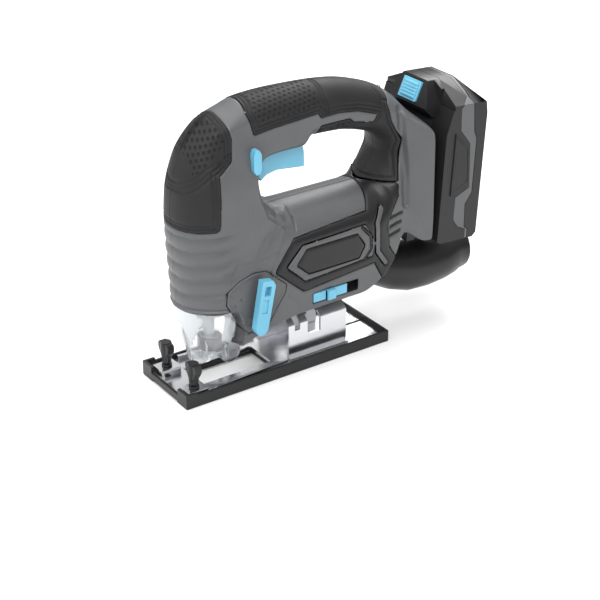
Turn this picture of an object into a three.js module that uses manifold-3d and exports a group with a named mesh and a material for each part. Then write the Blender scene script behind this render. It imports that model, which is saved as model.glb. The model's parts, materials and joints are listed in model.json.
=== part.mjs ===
// Cordless jigsaw as an assembly of separate solids. Millimetres, +Z up.
// The saw faces -X, its left side is -Y, the sole lies on z = 0 and the tool's mid-plane is y = 0.
// Inside this file x starts at the front edge of the shoe; at the end the whole tool is shifted so
// that the origin is the bottom centre of its overall box.
import * as THREE from 'three';
import { ParametricGeometry } from 'three/addons/geometries/ParametricGeometry.js';
import { mergeVertices } from 'three/addons/utils/BufferGeometryUtils.js';
import Module from 'manifold-3d';

const wasm = await Module();
wasm.setup();

// ---- Driving dimensions ----------------------------------------------------------------------
const gap = 0.3; // clearance between neighbouring pieces
const travelGap = 0.4; // clearance round a piece that moves

const shoeLength = 165;
const shoeWidth = 58;
const soleThickness = 2.7; // plastic under the steel
const plateThickness = 2;
const railHeight = 8.5;
const bladeSlotWidth = 26;
const bevelAxisZ = 13.5; // the base tilts about this line along X
const saddleRadius = 25.5;
const saddleThickness = 1.8;
const saddleHalf = 19;
const saddleX = [87, 135];

const wall = 2.2; // housing wall
const rubberThickness = 1.5;

const motorZ = 88;
const canRadius = 21;
const canX = [92, 146];
const shaftRadius = 2.5;
const toothModule = 0.95;
const pinionTeeth = 10;
const gearTeeth = 42;
const gearX = [64, 71];
const stroke = 16; // of the plunger
const plungerX = 36;
const plungerRadius = 4;

const rollerAt = [50.6, 15.6];
const rollerRadius = 7.5;
const forkPivot = [55, 38];

const leverPivot = [54.5, 47];
const leverLean = 9; // degrees from upright at rest
const switchTravel = 9;
const triggerTravel = 5;

const knobX = 10.8;
const knobY = shoeWidth / 2 - 11.5;
const knobShift = -3; // of the pair of knobs, towards the left
const barSlot = [12.5, 3]; // guide bar, width and thickness

const packLean = 3.2; // degrees
const packFoot = [198.2, 69]; // lower front edge of the battery pack
const packHeight = 111;
const packDepth = 35;
const railHalf = 21;
const cellRadius = 9;
const cellLength = 65;
const packWidth = cellLength + 9.6;

const pipeRadius = 18.5;
const pipeEndX = 248;

const radians = Math.PI / 180;

// ---- Materials -------------------------------------------------------------------------------
const paint = (color, roughness, metalness = 0) => new THREE.MeshStandardMaterial({ color, roughness, metalness });
const greyPlastic = paint(0x5d5f61, 0.55);
const blackPlastic = paint(0x1b1c1e, 0.5);
const rubber = paint(0x232425, 0.75);
const bluePlastic = paint(0x62bcd8, 0.4);
const zincSteel = paint(0xb9bec2, 0.3, 0.9);
const steel = paint(0x8e9294, 0.35, 0.9);
const castAlloy = paint(0x9fa2a4, 0.5, 0.7);
const copper = paint(0xa8683a, 0.4, 0.8);
const brass = paint(0xb08d4c, 0.4, 0.8);
const clearPlastic = new THREE.MeshStandardMaterial({ color: 0xdfe6e8, roughness: 0.1, transparent: true, opacity: 0.3 });

// ---- Solids ------------------------------------------------------------------------------------
// A closed three.js geometry as a solid that can be joined and cut.
function solid(geometry) {
  const bare = new THREE.BufferGeometry();
  bare.setAttribute('position', geometry.getAttribute('position'));
  if (geometry.index) {
    bare.setIndex(geometry.index);
  }
  const merged = mergeVertices(bare, 1e-4);
  const corners = Array.from(merged.index.array);
  const kept = [];
  for (let i = 0; i < corners.length; i += 3) {
    const [a, b, c] = corners.slice(i, i + 3);
    if (a !== b && b !== c && c !== a) {
      kept.push(a, b, c);
    }
  }
  const vertProperties = new Float32Array(merged.getAttribute('position').array);
  const build = (order) => new wasm.Manifold(
    new wasm.Mesh({ numProp: 3, vertProperties, triVerts: new Uint32Array(order) }));
  const made = build(kept);
  return made.volume() > 0 ? made : build(kept.reverse());
}

function box(x, y, z) {
  const geometry = new THREE.BoxGeometry(x[1] - x[0], y[1] - y[0], z[1] - z[0]);
  geometry.translate((x[0] + x[1]) / 2, (y[0] + y[1]) / 2, (z[0] + z[1]) / 2);
  return solid(geometry);
}

// The basis of each axis holds where a drawing's right, up and depth directions go.
const X = new THREE.Vector3(1, 0, 0);
const Y = new THREE.Vector3(0, 1, 0);
const Z = new THREE.Vector3(0, 0, 1);
const bases = {
  x: new THREE.Matrix4().makeBasis(Y, Z, X),
  y: new THREE.Matrix4().makeBasis(X, Z, Y.clone().negate()),
  z: new THREE.Matrix4().makeBasis(X, Y, Z),
};

// A flat outline in the two other directions, in alphabetical order, drawn out along an axis.
function slab(axis, points, from, to) {
  const shape = new THREE.Shape(points.map(([a, b]) => new THREE.Vector2(a, b)));
  const geometry = new THREE.ExtrudeGeometry(shape, { depth: to - from, bevelEnabled: false });
  geometry.applyMatrix4(bases[axis]);
  const start = axis === 'y' ? to : from;
  geometry.translate(axis === 'x' ? start : 0, axis === 'y' ? start : 0, axis === 'z' ? start : 0);
  return solid(geometry);
}

// A turned piece: profile of (radius, distance along the axis) about a line along X, Y or Z.
function turned(axis, at, profile, sides = 28) {
  const geometry = new THREE.LatheGeometry(profile.map(([r, h]) => new THREE.Vector2(r, h)), sides);
  if (axis === 'x') {
    geometry.rotateZ(-Math.PI / 2);
    geometry.translate(0, at[0], at[1]);
  } else if (axis === 'y') {
    geometry.translate(at[0], 0, at[1]);
  } else {
    geometry.rotateX(Math.PI / 2);
    geometry.translate(at[0], at[1], 0);
  }
  return solid(geometry);
}

function rod(axis, at, radius, from, to, sides = 24) {
  return turned(axis, at, [[0, from], [radius, from], [radius, to], [0, to]], sides);
}

function tube(axis, at, inner, outer, from, to, sides = 24) {
  return turned(axis, at, [[inner, from], [outer, from], [outer, to], [inner, to], [inner, from]], sides);
}

const join = (...pieces) => pieces.reduce((all, next) => all.add(next));
const cut = (body, ...tools) => tools.reduce((all, next) => all.subtract(next), body);
const mirrored = (points) => points.map(([a, b]) => [-a, b]).reverse();

// ---- The tool and its pieces -----------------------------------------------------------------
const tool = new THREE.Group();

function add(name, body, material, parent = tool) {
  const { vertProperties, triVerts, numProp } = body.getMesh();
  const geometry = new THREE.BufferGeometry();
  geometry.setAttribute('position', new THREE.BufferAttribute(new Float32Array(vertProperties), numProp));
  geometry.setIndex(Array.from(triVerts));
  const mesh = new THREE.Mesh(geometry, material);
  mesh.name = name;
  parent.add(mesh);
}

// ---- Housing shape ---------------------------------------------------------------------------
// The housing is a ring round the hand opening. Each station has its outer edge (x, z), its inner
// edge (x, z), the half widths by these edges and the radii that round them.
const stations = [
  [11.5, 61.5, 80, 117.4, 27, 22, 0.5, 9],
  [10.8, 80, 78.5, 118.6, 28.5, 22, 0.5, 9],
  [9.5, 110, 76, 121.5, 30.5, 21, 0.5, 9],
  [10.7, 137, 72.5, 126.5, 30, 21, 0.5, 9],
  [17, 163, 69, 134, 24.5, 22, 0.5, 9],
  [26, 177.5, 67.5, 142, 18, 22, 5, 8],
  [37, 186.5, 69.5, 149.5, 16.5, 21, 10, 8],
  [49, 190.5, 77, 153.5, 16, 19, 13, 8],
  [61, 194, 90, 154, 17, 18, 16, 8],
  [85, 195.3, 103, 153.5, 17.5, 17.5, 17, 8],
  [111, 194.6, 111.5, 158.5, 17.5, 17, 17, 12],
  [134, 192.3, 133, 157.5, 17.5, 17, 17, 13],
  [155, 186.8, 152, 153.5, 17.5, 17, 17, 13],
  [174, 178, 165, 148, 19, 17, 14, 13],
  [188, 164, 169.5, 142, 24, 18, 8, 13],
  [199.5, 150, 170, 137, 34, 18, 3, 13],
  [198.6, 118, 168, 131, 36, 20, 3, 14],
  [196.8, 71, 163, 124, 36, 24, 3, 20],
  [193, 70.5, 161.5, 122.5, 34, 25, 3, 22],
  [179, 78, 160, 121, 29, 26, 4, 26],
  [171, 61, 157, 118.5, 28, 27, 5, 29],
  [160, 47, 150, 117, 28, 29.5, 6, 29],
  [142, 40, 135, 117, 28.5, 29.5, 6, 29],
  [115, 40, 112, 117, 29, 29.5, 6, 29],
  [90, 40.5, 95, 117, 29.5, 29, 5, 27],
  [60, 36.5, 89, 116.8, 29.5, 26, 4, 20],
  [43.5, 31.5, 87, 116.7, 28.5, 25, 3, 18],
  [45.5, 42, 85.5, 116.6, 29, 24, 2, 14],
  [44, 51, 84, 116.6, 29, 24, 2, 12],
  [38, 59, 83, 116.7, 28.5, 23, 1.5, 10],
  [30, 60, 82, 117, 28, 22, 1.5, 9],
  [13, 60, 80.6, 117.2, 27, 22, 1.5, 9],
];
// The nose's front line x against height z, and the depth over which it rounds off in plan.
const noseHeights = [60, 80, 110, 137, 163, 177.5, 186.5, 194];
const noseFront = [11.4, 10.7, 9.4, 10.6, 16.8, 25.7, 36, 50];
const noseDepths = [26, 27, 30, 30, 27, 22, 18, 15];

// Slopes that keep a cubic through the values free of overshoot.
function slopes(knots, values) {
  const rise = knots.slice(1).map((k, i) => (values[i + 1] - values[i]) / (k - knots[i]));
  return knots.map((_, i) => {
    const before = rise[Math.max(i - 1, 0)];
    const after = rise[Math.min(i, rise.length - 1)];
    return before * after <= 0 ? 0 : (2 * before * after) / (before + after);
  });
}

function cubic(knots, values, tangents, at) {
  let i = 0;
  while (i < knots.length - 2 && at > knots[i + 1]) {
    i += 1;
  }
  const span = knots[i + 1] - knots[i];
  const u = Math.min(Math.max((at - knots[i]) / span, 0), 1);
  return (1 + 2 * u) * (1 - u) ** 2 * values[i] + u * (1 - u) ** 2 * span * tangents[i]
    + u * u * (3 - 2 * u) * values[i + 1] + u * u * (u - 1) * span * tangents[i + 1];
}

const noseFrontSlopes = slopes(noseHeights, noseFront);
const noseDepthSlopes = slopes(noseHeights, noseDepths);

// Quarter-circle rise from 0 at the edge to 1 at one radius in.
const rounded = (inside) => Math.sqrt(1 - (1 - Math.min(Math.max(inside, 0), 1)) ** 2);

// The stations repeat beyond both ends so that the ring closes smoothly.
const ringCount = stations.length;
const wrapped = [...stations.slice(-2), ...stations, ...stations.slice(0, 3)];
const ringKnots = [0];
for (let i = 1; i < wrapped.length; i += 1) {
  const [a, b] = [wrapped[i - 1], wrapped[i]];
  const far = (j) => Math.hypot(b[j] - a[j], b[j + 1] - a[j + 1]);
  ringKnots.push(ringKnots[i - 1] + far(0) + 0.5 * far(2));
}
const ringValues = stations[0].map((_, j) => wrapped.map((station) => station[j]));
const ringSlopes = ringValues.map((values) => slopes(ringKnots, values));

// Knots of the rows of the mesh: each interval is divided by its length.
function ringRows(spacing) {
  const rows = [];
  for (let i = 2; i < ringCount + 2; i += 1) {
    const span = ringKnots[i + 1] - ringKnots[i];
    const parts = Math.max(Math.round(span / spacing), 1);
    for (let k = 0; k < parts; k += 1) {
      rows.push(ringKnots[i] + (k * span) / parts);
    }
  }
  return rows;
}

// One half of the housing as a solid, its surface moved inwards by inset. The flat side lies at
// y = flatY on the side given by its sign.
function housingHalf(side, inset, flatY, spacing = 17, across = 8) {
  const top = across / (across + 2); // the last two rows lie on the flat side
  const rows = ringRows(spacing);
  const surface = (u, v, target) => {
    const at = rows[Math.round(u * rows.length) % rows.length];
    const [ox, oz, ix, iz, wideOut, wideIn, roundOut, roundIn] = ringValues.map(
      (values, j) => cubic(ringKnots, values, ringSlopes[j], at));
    const length = Math.hypot(ix - ox, iz - oz);
    const v1 = v % 1;
    const onFlat = v1 < 1e-6 || v1 > top - 1e-6;
    const share = v1 < top ? (1 - Math.cos((Math.PI * v1) / top)) / 2 : (1 - v1) / (1 - top);
    const inside = share * (length - 2 * inset);
    const t = (inset + inside) / length;
    const x = ox + (ix - ox) * t;
    const z = oz + (iz - oz) * t;
    let y = flatY;
    if (!onFlat) {
      const front = cubic(noseHeights, noseFront, noseFrontSlopes, z) + inset;
      const depth = cubic(noseHeights, noseDepths, noseDepthSlopes, z);
      const wide = wideOut + (wideIn - wideOut) * t - inset;
      const edge = rounded(inside / Math.max(roundOut - inset, 0.4))
        * rounded((length - 2 * inset - inside) / Math.max(roundIn - inset, 0.4));
      y = Math.max(wide * edge * rounded((x - front) / (depth - inset)), flatY + 0.05);
    }
    target.set(x, side * y, z);
  };
  return solid(new ParametricGeometry(surface, rows.length, across + 2));
}

// ---- Battery pack frame ----------------------------------------------------------------------
// The pack stands on its own leaning frame: x runs to the rear, z up along the rails.
const pack = new THREE.Group();
pack.position.set(packFoot[0], 0, packFoot[1]);
pack.rotation.y = packLean * radians;
tool.add(pack);

// A solid drawn in the pack's frame, moved to the tool's frame.
const leaned = (body) => body.rotate([0, packLean, 0]).translate([packFoot[0], 0, packFoot[1]]);

// ---- Housing and its skins -------------------------------------------------------------------
const noseZone = [[0, 118.5], [30.7, 118.5], [33.5, 154], [44, 160.5], [45.5, 174.6], [41.5, 190.5],
  [42.5, 205], [0, 205]];
const gripZone = [[60, 206], [59, 187], [62.8, 173.3], [78.5, 175.2], [97.3, 176.5], [112.1, 177.5],
  [114.5, 173.9], [128.5, 174.5], [143.9, 172.5], [160, 167], [157, 161.5], [140.9, 164.7],
  [137.2, 168.2], [114.6, 168], [112.2, 145], [150, 130], [153, 118.2], [173, 118.2],
  [175.3, 131], [177.2, 146], [170.5, 160], [168, 172], [174, 184], [150, 206]];
const panelZone = [[71.3, 78.8], [86.3, 99.9], [146.2, 103.8], [153, 117.6], [173, 117.6],
  [171.5, 109], [163, 90], [164.5, 73], [176, 56], [164, 42], [151.5, 65], [92.7, 60.2]];
const ringZone = [[79.9, 80.7], [91.4, 93.7], [143.1, 95.2], [151.1, 80.4], [148.8, 71.2], [93.5, 68.1]];
const plateZone = [[86.8, 80.7], [94.2, 90.8], [135.8, 91.1], [142.7, 80.8], [137.9, 72.4], [96.4, 72.1]];
const fanZone = [[47.5, 42], [33.5, 66], [35.5, 74], [44.5, 79.4], [55, 82.5], [64, 82], [69.8, 77.2], [79.2, 69], [78, 63.5],
  [62.5, 42]];

// An outline moved outwards by a distance, with mitred corners; the points may run either way.
function grown(points, by) {
  const area = points.reduce((sum, [a, b], i) => {
    const [c, d] = points[(i + 1) % points.length];
    return sum + a * d - b * c;
  }, 0);
  const turn = area > 0 ? 1 : -1;
  const normal = (p, q) => {
    const length = Math.hypot(q[0] - p[0], q[1] - p[1]);
    return [(turn * (q[1] - p[1])) / length, (-turn * (q[0] - p[0])) / length];
  };
  return points.map((point, i) => {
    const n = normal(points[(i + points.length - 1) % points.length], point);
    const m = normal(point, points[(i + 1) % points.length]);
    const scale = by / (1 + n[0] * m[0] + n[1] * m[1]);
    return [point[0] + (n[0] + m[0]) * scale, point[1] + (n[1] + m[1]) * scale];
  });
}

const skinGap = gap + rubberThickness;
const cavityInset = skinGap + wall;
const raise = 0.8; // of the badge ring over the panel

const leverRadius = 4;
const forkHalf = 5.6;
const gearZ = motorZ - (toothModule * (pinionTeeth + gearTeeth)) / 2 - 0.25;
const pinRadius = stroke / 2;
const gearRadius = (toothModule * gearTeeth) / 2 + toothModule;
const snout = { x: [28.4, 43], y: 8.5, z: [50, 58.5] };
const mouth = { x: [27, 64], y: 15.5, top: 66 };
const bridgeZ = [60 + cavityInset + 0.5, 67.5]; // the cast bridge rests on the floor of the nose
const sliderX = [100.5, 128];
const sliderZ = [49.2, 55.8];
const lockAt = [61, 157.3];
const lockSize = [6, 16.5];
const triggerOutline = [[74.6, 135.4], [72.4, 138.7], [74.3, 147.5], [80, 156.5], [106.6, 156], [108.6, 149],
  [108.8, 137.9], [86, 140.4], [79.4, 139]];
const screwSpots = [[53, 172], [150, 176], [184, 140], [186, 82]];
const screwRadius = 1.6;
const headRadius = 3.4;
const halfNut = 8; // of the bevel nut block, across

const lockOutline = (by) => {
  const [w, h] = [lockSize[0] / 2 + by, lockSize[1] / 2 + by];
  return [[-w * 0.4, -h], [w * 0.4, -h], [w, -h + 3], [w, h - 3], [w * 0.4, h], [-w * 0.4, h], [-w, h - 3],
    [-w, -h + 3]].map(([a, b]) => [a + lockAt[0], b + lockAt[1]]);
};

// The prism through one half that a zone cuts out.
const through = (side, points, to = 60) => slab('y', points, side < 0 ? -to : 0, side < 0 ? 0 : to);

for (const side of [-1, 1]) {
  const name = side < 0 ? 'left' : 'right';
  const outer = housingHalf(side, 0, gap / 2);
  const underSkin = housingHalf(side, rubberThickness, -1);
  const behindSkin = housingHalf(side, skinGap, -1).intersect(underSkin);
  const hollow = housingHalf(side, cavityInset, -1, 28, 6);

  const bosses = screwSpots.map((spot) => rod('y', spot, 4, side < 0 ? -40 : gap / 2, side < 0 ? -gap / 2 : 40, 12));
  const shell = cut(outer, hollow).add(join(...bosses).intersect(outer));
  const skinCuts = [noseZone, gripZone, panelZone].map(
    (zone) => through(side, grown(zone, gap / 2)).subtract(behindSkin));
  const spaces = [
    box(mouth.x, [-mouth.y, mouth.y], [20, mouth.top]), // plunger, fork and gear pin
    rod('x', [0, gearZ], gearRadius + 0.8, mouth.x[1] - 2, 73), // reduction gear
    box([74, 108.6], [-7, 7], [140, 168]), // trigger stem
    ...[0, 0.25, 0.5, 0.75, 1].map((share) => slab('y', grown(triggerOutline, travelGap), -7, 7)
      .translate([0, 0, share * triggerTravel])),
    rod('z', [108, 0], 3.2, 30, 46), // bevel screw
    turned('x', [0, 48], [[0, 150], [pipeRadius - 2.6, 150], [pipeRadius + 1, 196], [0, 196]]), // dust pipe
    leaned(box([-8.5, 12], [-railHalf - 1.5, railHalf + 1.5], [-7, packHeight])), // pack rails
    ...screwSpots.map((spot) => turned('y', spot, [[0, -11.4], [screwRadius + gap, -11.4],
      [screwRadius + gap, 11], [headRadius + gap, 11], [headRadius + gap, 40], [0, 40]], 12)),
  ];
  for (const row of [0, 1, 2]) {
    const z = 79.5 + 6.5 * row;
    const x = 164 + 0.5 * row;
    spaces.push(through(side, [[x, z], [x + 9, z + 2.6], [x + 9, z + 4.2], [x, z + 1.6]])); // vents
  }
  if (side < 0) {
    spaces.push(slab('y', lockOutline(travelGap), -40, -10));
    spaces.push(rod('y', leverPivot, leverRadius + travelGap, -40, -15));
    skinCuts.push(through(side, grown(fanZone, gap / 2)).subtract(behindSkin));
    spaces.push(box([sliderX[0] - 0.6, sliderX[1] + switchTravel + 0.6],
      [-40, -24.5], [sliderZ[0] - travelGap, sliderZ[1] + travelGap]));
  }
  add(`${name}_housing`, cut(shell, ...skinCuts, ...spaces), greyPlastic);

  const skin = (zone) => outer.intersect(through(side, zone)).subtract(underSkin);
  add(`${name}_nose_cover`, cut(skin(noseZone)), rubber);
  add(`${name}_handle_grip`, cut(skin(gripZone), ...spaces), rubber);
  add(`${name}_side_panel`, cut(skin(panelZone), through(side, grown(ringZone, gap / 2)), ...spaces),
    blackPlastic);
  const proud = housingHalf(side, -raise, -1);
  const badge = (zone) => proud.intersect(through(side, zone)).subtract(underSkin);
  add(`${name}_badge_ring`, cut(badge(grown(ringZone, -gap / 2)), through(side, grown(plateZone, gap / 2))),
    greyPlastic);
  add(`${name}_badge_plate`, badge(grown(plateZone, -gap / 2)), blackPlastic);
  if (side < 0) {
    add('pendulum_plate', cut(skin(grown(fanZone, -gap / 2)), rod('y', leverPivot, leverRadius + travelGap, -40, -15),
      box(mouth.x, [-mouth.y, mouth.y], [20, mouth.top])), greyPlastic);
  }
}
screwSpots.forEach((spot, i) => {
  const screw = turned('y', spot, [[0, -11], [screwRadius, -11], [screwRadius, 11.4], [headRadius, 11.4],
    [headRadius, 13.6], [1.2, 13.6], [1.2, 12.6], [0, 12.6]], 12);
  add(`housing_screw_${i + 1}`, screw, steel);
});

// ---- Trigger, lock-off button and switch -----------------------------------------------------
const stemTop = 158;
add('trigger', join(slab('y', triggerOutline, -6.4, 6.4), box([82, 104], [-5, 5], [148, stemTop])), bluePlastic);
add('trigger_spring', tube('z', [92, 0], 2.2, 3.2, stemTop + gap, 168 - gap, 16), steel);
add('switch_module', join(box([78, 108], [-8, 8], [168.4, 182]), box([98, 102], [-4, 4], [164.6, 170])),
  blackPlastic);
add('lock_button', join(slab('y', lockOutline(0), -24.2, -15), box([58.8, 63.2], [-16, -9], [152, 160])), bluePlastic);

// ---- Pendulum selector and blower switch -----------------------------------------------------
const leverWidth = 4.9;
const leverLength = 33.5;
const leverShape = [];
for (let i = 0; i <= 12; i += 1) {
  const a = Math.PI + (Math.PI * i) / 12;
  leverShape.push([leverWidth * Math.cos(a), leverWidth * Math.sin(a)]);
}
leverShape.push([leverWidth + 1.4, leverLength - 3.5], [leverWidth - 1.2, leverLength], [-leverWidth + 0.6, leverLength]);
const lever = cut(slab('y', leverShape, -36.6, -31.2), box([-1.6, 3], [-38, -33.2], [leverLength - 10.5, leverLength - 4]),
  box([-1.8, 2.4], [-38, -35.7], [leverLength - 23, leverLength - 13]))
  .rotate([0, leverLean, 0]).translate([leverPivot[0], 0, leverPivot[1]]);
add('pendulum_lever', lever, bluePlastic);
add('pendulum_shaft', cut(rod('y', leverPivot, leverRadius, -31.2 + gap, -17),
  box([leverPivot[0] - 5, leverPivot[0] + 5], [-23, -16], [leverPivot[1], leverPivot[1] + 6])), steel);
const sliderMid = (sliderX[0] + sliderX[1]) / 2;
add('blower_switch', join(box(sliderX, [-29, -24.9], sliderZ),
  slab('z', [[sliderMid - 4, -28.5], [sliderMid - 3, -31.6], [sliderMid + 3, -31.6], [sliderMid + 4, -28.5]],
    sliderZ[0] - 0.1, sliderZ[1] + 0.1)), bluePlastic);

// ---- Motor -----------------------------------------------------------------------------------
const motorAxis = [0, motorZ];
const canInner = canRadius - 2;
const magnetInner = canInner - 2.6;
const coreRadius = magnetInner - 0.6;
const shaftHole = shaftRadius + gap;
add('motor_can', turned('x', motorAxis, [[8.6, canX[0]], [canRadius, canX[0]], [canRadius, canX[1]],
  [canInner, canX[1]], [canInner, canX[0] + 2], [8.6, canX[0] + 2], [8.6, canX[0]]]), steel);
add('magnet_ring', tube('x', motorAxis, magnetInner, canInner - gap, canX[0] + 6, canX[1] - 12), blackPlastic);
const slots = [];
for (let i = 0; i < 8; i += 1) {
  slots.push(box([canX[0], canX[1]], [-1.2, 1.2], [9, 20]).rotate([45 * i, 0, 0]).translate([0, 0, motorZ]));
}
add('armature', cut(join(rod('x', motorAxis, coreRadius, canX[0] + 8, canX[1] - 14, 32),
  rod('x', motorAxis, 7, canX[1] - 15, canX[1] + 0.5, 24)), ...slots,
rod('x', motorAxis, shaftHole, canX[0], canX[1] + 2)), copper);
add('motor_shaft', rod('x', motorAxis, shaftRadius, 62, 161, 16), steel);
const fanX = [canX[0] - 8, canX[0] - 1.5];
const blades = [];
for (let i = 0; i < 9; i += 1) {
  blades.push(box([fanX[0], fanX[1] - 1], [-0.7, 0.7], [6, 19.5]).rotate([40 * i, 0, 0]).translate([0, 0, motorZ]));
}
add('cooling_fan', cut(join(tube('x', motorAxis, shaftHole, 7, fanX[0], fanX[1]),
  tube('x', motorAxis, 6, 19.5, fanX[1] - 1.6, fanX[1]), ...blades), rod('x', motorAxis, shaftHole, 60, 160)),
blackPlastic);
add('front_bearing', tube('x', motorAxis, shaftHole, 6.5, 78.3, 82.3), steel);
add('rear_bearing', tube('x', motorAxis, shaftHole, 6.5, canX[1] + 6.5, canX[1] + 10.5), steel);
const brushes = [-1, 1].map((side) => box([canX[1] - 6, canX[1] - 0.6], [side < 0 ? 2 - canInner : 7.4, side < 0 ? -7.4 : canInner - 2],
  [motorZ - 2.5, motorZ + 2.5]));
add('brush_plate', join(tube('x', motorAxis, 8, canRadius - 0.5, canX[1] + gap, canX[1] + 2.5),
  ...brushes.map((brush) => join(brush, brush.translate([3.2, 0, 0]))),
  tube('x', motorAxis, 6.5 + gap, 11, canX[1] + 2, canX[1] + 10)), brass);

// ---- Reduction gear --------------------------------------------------------------------------
// Straight-flanked teeth with backlash: rise from the pitch line in modules, half width in pitches.
function gear(teeth, z, from, to, turn) {
  const pitch = (toothModule * teeth) / 2;
  const outline = [];
  for (let i = 0; i < teeth; i += 1) {
    const middle = ((i + turn) * 2 * Math.PI) / teeth;
    const flank = [[-1.15, -0.36], [0.85, -0.1], [0.85, 0.1], [-1.15, 0.36]];
    for (const [rise, share] of flank) {
      const a = middle + (share * 2 * Math.PI) / teeth;
      const r = pitch + rise * toothModule;
      outline.push([r * Math.sin(a), z + r * Math.cos(a)]);
    }
  }
  return slab('x', outline.reverse(), from, to);
}
add('pinion', cut(gear(pinionTeeth, motorZ, gearX[0] - 1, gearX[1] + 1, 0.5), rod('x', motorAxis, shaftHole, 60, 90)),
  steel);
const axleRadius = 3;
const gearAxis = [0, gearZ];
add('reduction_gear', cut(join(gear(gearTeeth, gearZ, ...gearX, 0), rod('x', [0, gearZ - pinRadius], 2.4, 57, gearX[0] + 1, 16)),
  rod('x', gearAxis, axleRadius + gap, 60, 90)), steel);
add('gear_axle', rod('x', gearAxis, axleRadius, gearX[0] - 1, 77, 16), steel);

// ---- Gear housing, plunger and bushes --------------------------------------------------------
const plungerAt = [plungerX, 0];
const bushRadius = plungerRadius + 2.4;
const bushHole = bushRadius + gap;
const upperBush = [99, 107];
const rearPlate = [73, 76];
const room = join(...[-1, 1].map((side) => housingHalf(side, cavityInset + 0.4, -1, 28, 6)));
add('gear_housing', cut(join(room.intersect(join(
  box(rearPlate, [-24, 24], [46, upperBush[1]]),
  box([rearPlate[1] - 1, 82.6], [-9.5, 9.5], [motorZ - 9.5, motorZ + 9.5]),
  box([rearPlate[1] - 1, 77.5], [-6, 6], [gearZ - 6, gearZ + 6]),
  box([45, rearPlate[1]], [-24, -22.3], [bridgeZ[0], 80]),
  box([45, rearPlate[1]], [22.3, 24], [bridgeZ[0], 80]),
  box([snout.x[0], 48], [-20, 20], bridgeZ),
  box([45, 50], [-24, 24], bridgeZ))),
box(snout.x, [-15, 15], [snout.z[0] + 3, bridgeZ[1]]),
box(snout.x, [-snout.y, snout.y], [snout.z[0], snout.z[1]]),
box([plungerX - bushRadius - 2.5, rearPlate[1]], [-bushRadius - 2, bushRadius + 2], upperBush)),
box([snout.x[0] + 1.8, 62], [-13.6, 13.6], [snout.z[1], 70]),
rod('z', plungerAt, bushHole, 40, 120),
rod('x', gearAxis, axleRadius + gap, 70, 80),
rod('x', motorAxis, shaftHole + 0.2, 70, 80),
rod('x', motorAxis, 6.5 + gap, 77.9, 90)), castAlloy);
add('lower_bush', tube('z', plungerAt, plungerRadius + gap, bushRadius, ...snout.z), brass);
add('upper_bush', tube('z', plungerAt, plungerRadius + gap, bushRadius, ...upperBush), brass);
const pinZ = gearZ - pinRadius;
const armZ = [60, 67];
add('plunger', cut(rod('z', plungerAt, plungerRadius, 19, 112),
  box([30, 42], [-0.9, 0.9], [18, 34])), steel);
add('yoke', cut(join(box([45, 56.4], [-13, 13], [pinZ - 5.5, armZ[1]]),
  box([plungerX - 5.4, 46], [-6, 6], armZ)),
box([44, 57], [-11.2, 11.2], [pinZ - 2.8, pinZ + 2.8]), rod('z', plungerAt, plungerRadius + gap, 50, 80)), steel);
const clampTube = plungerRadius + gap;
add('blade_clamp', cut(tube('z', plungerAt, clampTube, clampTube + 1.6, 17.5, 34),
  box([30, 42], [-0.9, 0.9], [16, 24])), steel);
add('clamp_collar', join(tube('z', plungerAt, clampTube + 2, 7.6, 24, 33),
  box([plungerX - 3, plungerX + 3], [-13, -7], [26, 31])), blackPlastic);

// ---- Guide roller ----------------------------------------------------------------------------
const forkShape = [[rollerAt[0] - 3.4, rollerAt[1] + 3], [rollerAt[0] - 2.6, rollerAt[1] - 3.4],
  [rollerAt[0] + 2.6, rollerAt[1] - 3.4], [rollerAt[0] + 4.4, rollerAt[1] + 3],
  [forkPivot[0] + 4, forkPivot[1] - 4], [forkPivot[0] + 4, forkPivot[1] + 4.5],
  [forkPivot[0] - 4, forkPivot[1] + 4.5], [forkPivot[0] - 4, forkPivot[1] - 8]];
const rollerHalf = 3;
add('roller_fork', cut(slab('y', forkShape, -forkHalf, forkHalf),
  rod('y', rollerAt, rollerRadius + 0.6, -rollerHalf - gap, rollerHalf + gap, 28),
  rod('y', rollerAt, 1.5 + gap, -9, 9, 16)), steel);
add('guide_roller', turned('y', rollerAt, [[1.5 + gap, -rollerHalf], [rollerRadius, -rollerHalf],
  [rollerRadius, -0.8], [rollerRadius - 1.5, 0], [rollerRadius, 0.8], [rollerRadius, rollerHalf],
  [1.5 + gap, rollerHalf], [1.5 + gap, -rollerHalf]]), zincSteel);
add('roller_pin', turned('y', rollerAt, [[0, -forkHalf - 0.8], [2.6, -forkHalf - 0.8], [2.6, -forkHalf - gap + 0.1],
  [1.5, -forkHalf - gap + 0.1], [1.5, forkHalf + 0.6], [0, forkHalf + 0.6]], 16), steel);

// ---- Chip shield -----------------------------------------------------------------------------
// In plan a half ellipse in front of two straight sides; it narrows downwards.
const shieldZ = [17.5, 59.6];
function shieldCore(inset) {
  const surface = (u, v, target) => {
    const a = Math.PI * 2 * (u % 1);
    const z = v <= 0.5 ? shieldZ[0] - 2 : shieldZ[1] + 2;
    const drop = 60 - z;
    const half = 26.3 - 0.31 * drop;
    const front = 11.9 + 0.21 * drop;
    const open = v === 0 || v === 1 ? 0 : 1;
    const round = Math.cos(a) < 0 ? half * 0.95 * Math.cos(a) : 30 * Math.cos(a);
    target.set(front + half * 0.95 + (round + (round < 0 ? inset : 0)) * open,
      open * (half - inset) * Math.sin(a), z);
  };
  return solid(new ParametricGeometry(surface, 40, 3));
}
const shieldSide = [[0, shieldZ[1]], [0, shieldZ[0]], [24, shieldZ[0]], [40, 29.5], [42.6, 34], [44.2, 42],
  [42.8, 50], [36.8, shieldZ[1]]];
add('chip_shield', cut(shieldCore(0).intersect(slab('y', shieldSide, -40, 40)), shieldCore(1.5)), clearPlastic);

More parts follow.
